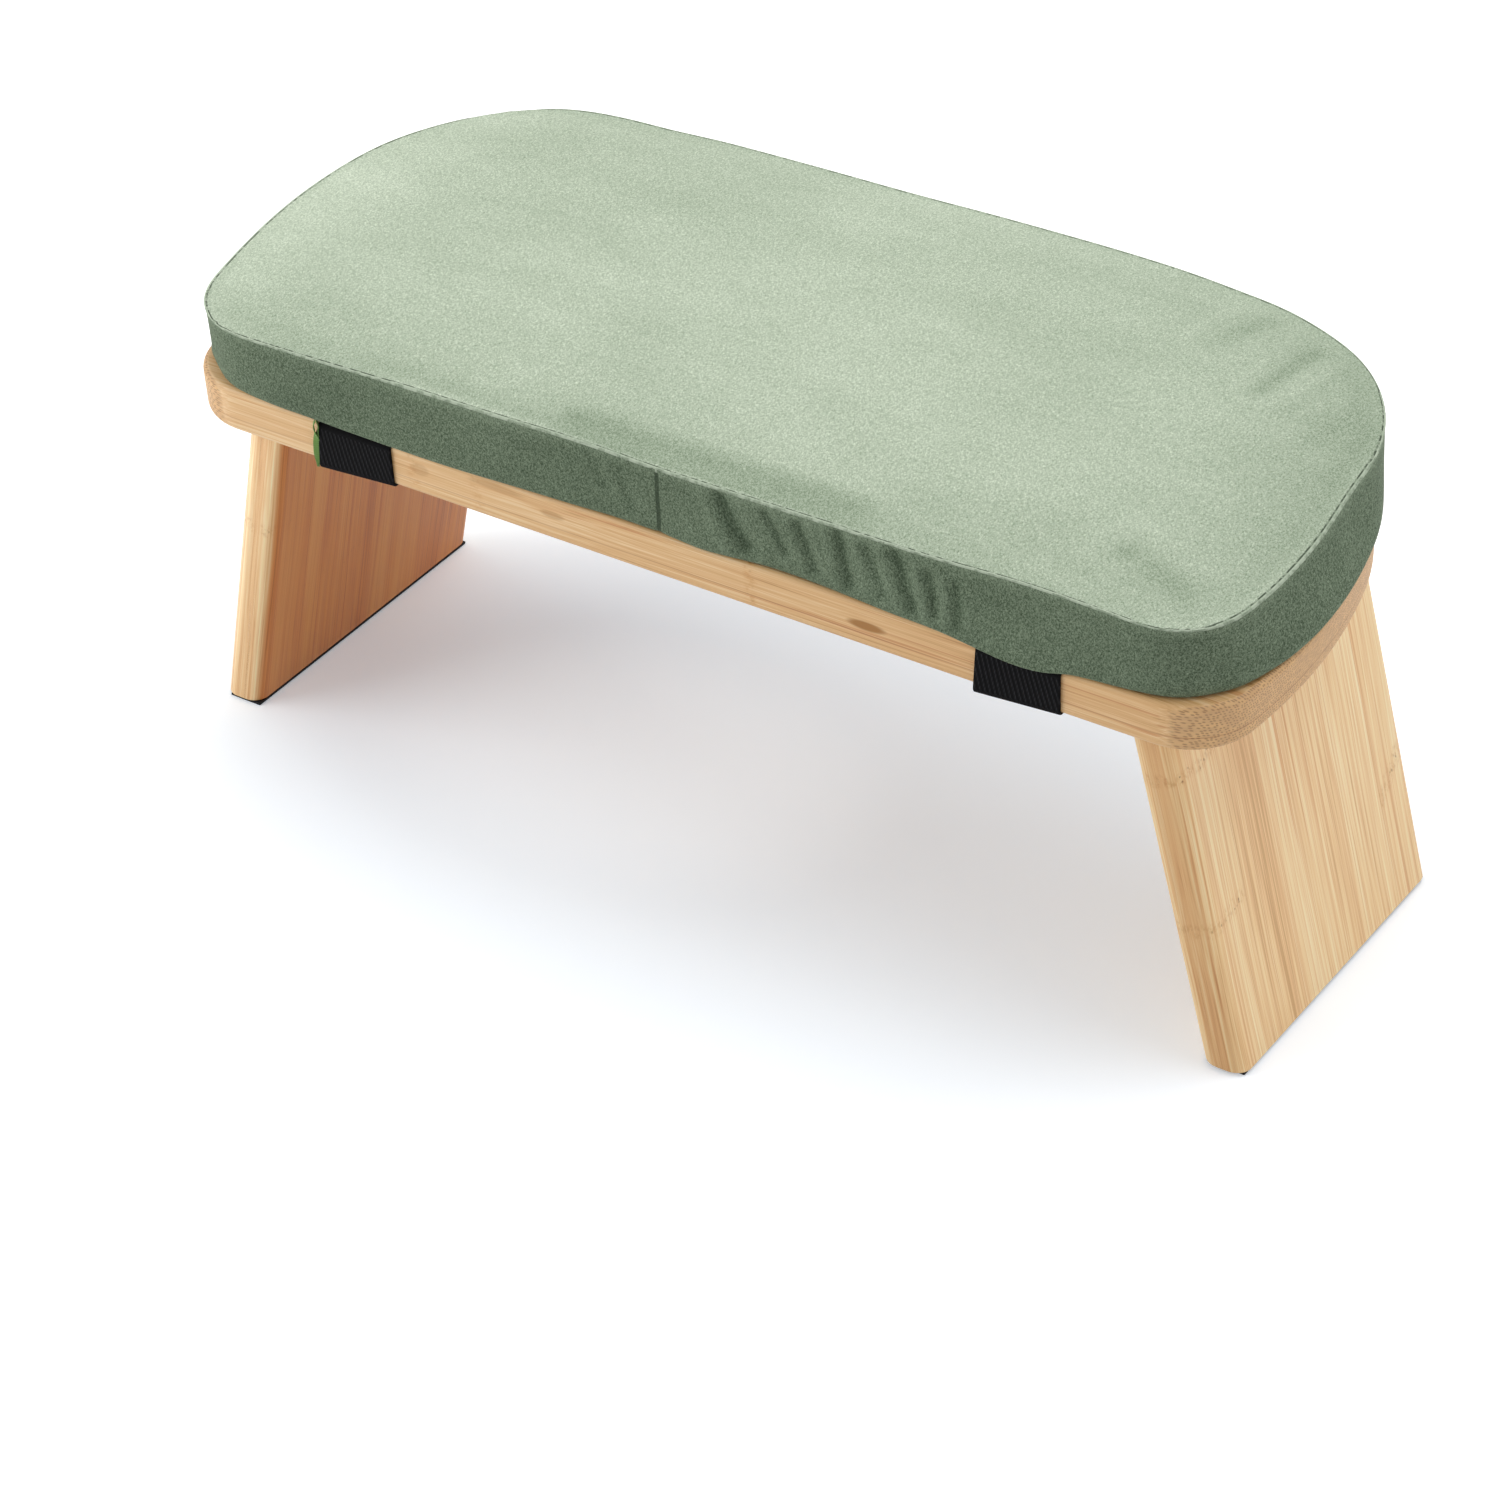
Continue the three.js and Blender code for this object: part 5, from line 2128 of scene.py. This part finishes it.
@dataclass
class Studio:
    """A pale floor, soft lamps and the camera at the photograph's angle."""

    azimuth: float = math.radians(31.5)
    elevation: float = math.radians(34.12)
    roll: float = math.radians(0.92)
    distance: float = 1.63547
    target: tuple[float, float, float] = (-0.02406, 0.00051, 0.00803)
    focal_pixels: float = 4046.67
    image_pixels: float = 1500.0
    sensor: float = 36.0
    floor_size: float = 12.0
    # how much the floor glows where it is seen: less near the bench, which paints a shadow round it, and
    # more far off
    floor_glow: tuple[float, float] = (0.20, 0.60)
    glow_middle: tuple[float, float] = (0.0, -0.03)
    glow_reach: tuple[float, float] = (0.22, 0.16)
    glow_fall: float = 0.24
    near_paint: Colour = (0.89, 0.93, 0.97, 1.0)
    far_paint: Colour = (0.96, 0.96, 0.96, 1.0)
    unseen_paint: Colour = (0.84, 0.84, 0.84, 1.0)
    lit_middle: tuple[float, float] = (-0.07, -0.02)
    lit_reach: tuple[float, float] = (0.12, 0.09)
    lit_strength: float = 0.10
    cool_strength: float = 0.040
    sky_strength: float = 0.36
    lamps: tuple[Lamp, ...] = (
        Lamp("key_lamp", (0.3, 0.6, 2.1), 1.7, 21.0),
        Lamp("fill_lamp", (-1.45, -1.25, 0.9), 1.5, 20.5),
        Lamp("right_lamp", (2.2, 0.2, 1.0), 1.5, 10.5),
        Lamp("left_lamp", (-2.2, 0.2, 1.2), 1.5, 8.0),
    )

    def camera(self) -> None:
        """Sets the camera up."""
        azimuth, elevation = self.azimuth, self.elevation
        back = Vector((
            math.sin(azimuth) * math.cos(elevation),
            -math.cos(azimuth) * math.cos(elevation),
            math.sin(elevation),
        ))
        right = (-back).cross(UP).normalized()
        up = right.cross(-back)
        turned_right = right * math.cos(self.roll) + up * math.sin(self.roll)
        turned_up = up * math.cos(self.roll) - right * math.sin(self.roll)
        data = bpy.data.cameras.new("camera")
        data.sensor_width = self.sensor
        data.lens = self.focal_pixels / self.image_pixels * self.sensor
        data.clip_start, data.clip_end = 0.05, 50.0
        obj = linked("camera", data)
        axes = Matrix((turned_right, turned_up, back)).transposed().to_4x4()
        obj.matrix_world = Matrix.Translation(Vector(self.target) + back * self.distance) @ axes
        bpy.context.scene.camera = obj

    def world(self) -> None:
        """Lights the scene all round, and shows white behind the floor."""
        world = bpy.data.worlds.new("studio")
        world.use_nodes = True
        bpy.context.scene.world = world
        mix = Recipe(world.node_tree)
        seen = self._seen(mix)
        background = world.node_tree.nodes["Background"]
        background.inputs["Color"].default_value = WHITE
        level = seen * (1.0 - self.sky_strength) + self.sky_strength
        world.node_tree.links.new(level.socket, background.inputs["Strength"])

    @staticmethod
    def _seen(mix: Recipe) -> Signal:
        """1 for rays that come from the camera, a gloss or a glass."""
        path = mix.node("ShaderNodeLightPath")
        outputs = path.socket.node.outputs
        names = ("Is Camera Ray", "Is Glossy Ray", "Is Transmission Ray")
        camera, gloss, through = (Signal(mix, outputs[name]) for name in names)
        return (camera + gloss + through).ramp(0.0, 1.0, False)

    @staticmethod
    def _round(across: Signal, back: Signal, middle: Sequence[float], reach: Sequence[float]) -> Signal:
        """The square of the distance from a middle, in reaches."""
        wide = (across - middle[0]) / reach[0]
        deep = (back - middle[1]) / reach[1]
        return wide * wide + deep * deep

    def floor(self) -> None:
        """Lays the floor, which glows where it is seen and keeps the bench's shadow. Its glow is dimmer
        round the bench as painted shadow, with a painted pool of light, a painted fall from front to back
        and a cool tint painted into the shade near the bench.
        """
        floor = added("floor", bpy.ops.mesh.primitive_plane_add, size=self.floor_size)
        mix = SurfaceRecipe("floor_finish", Roughness=0.9, Specular_IOR_Level=0.1, Emission_Strength=1.0)
        seen = self._seen(mix)
        across, back, _ = mix.split(mix.coordinates(Matrix.Identity(4)))
        # painted shadow: the glow is dimmer round the bench
        away = self._round(across, back, self.glow_middle, self.glow_reach).ramp(0.6, 3.2)
        # a painted pool of light on the floor
        painted_pool = self._round(across, back, self.lit_middle, self.lit_reach).ramp(1.2, 0.0) * self.lit_strength
        near, far = self.floor_glow
        # painted light and shade: the glow is stronger in front of the bench and weaker behind it
        fall = (0.5 - back.ramp(-0.12, 0.12, False)) * self.glow_fall
        level = away * (far - near) + near + fall + painted_pool
        # a cool tint painted into the shade near the bench
        cool = (1.0 - away) ** 2.0 * self.cool_strength
        glow = mix.join(level - cool, level, level + cool)
        # near the bench the floor's seen colour is painted cooler
        paint = mix.mix(seen, self.unseen_paint, mix.mix(away, self.near_paint, self.far_paint))
        light = mix.mix(seen, BLACK, glow)
        dress(floor, mix.finished(Base_Color=paint, Emission_Color=light))

    def build(self) -> None:
        """Sets the whole studio up."""
        bpy.context.scene.view_settings.view_transform = "Standard"
        self.camera()
        self.floor()
        self.world()
        for lamp in self.lamps:
            lamp.hang()


def main() -> None:
    """Builds the bench piece by piece."""
    logging.basicConfig(level=logging.INFO, format="%(name)s: %(message)s")
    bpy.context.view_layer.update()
    Studio().build()

    seat = SeatFrame.found()
    foam = BLACK_FOAM.material(seat.matrix)
    steel = HINGE_STEEL.material(seat.matrix)
    legs = [Leg(seat, side) for side in Side]
    hinges = [Hinges(seat, leg.side, leg.matrix) for leg in legs]
    SeatBoard(seat).build([cut for pair in hinges for cut in pair.seat_mortises()])
    for leg, pair in zip(legs, hinges):
        leg.panel(pair.leg_mortises())
        leg.pad(foam)
        pair.build(steel)
    Strap(seat, Side.LEFT, -0.1393, -0.139).build()
    Strap(seat, Side.RIGHT, 0.1462, 0.151).build()
    RibbonTab(seat).build()
    Cushion(seat).build()


if __name__ == "__main__":
    main()
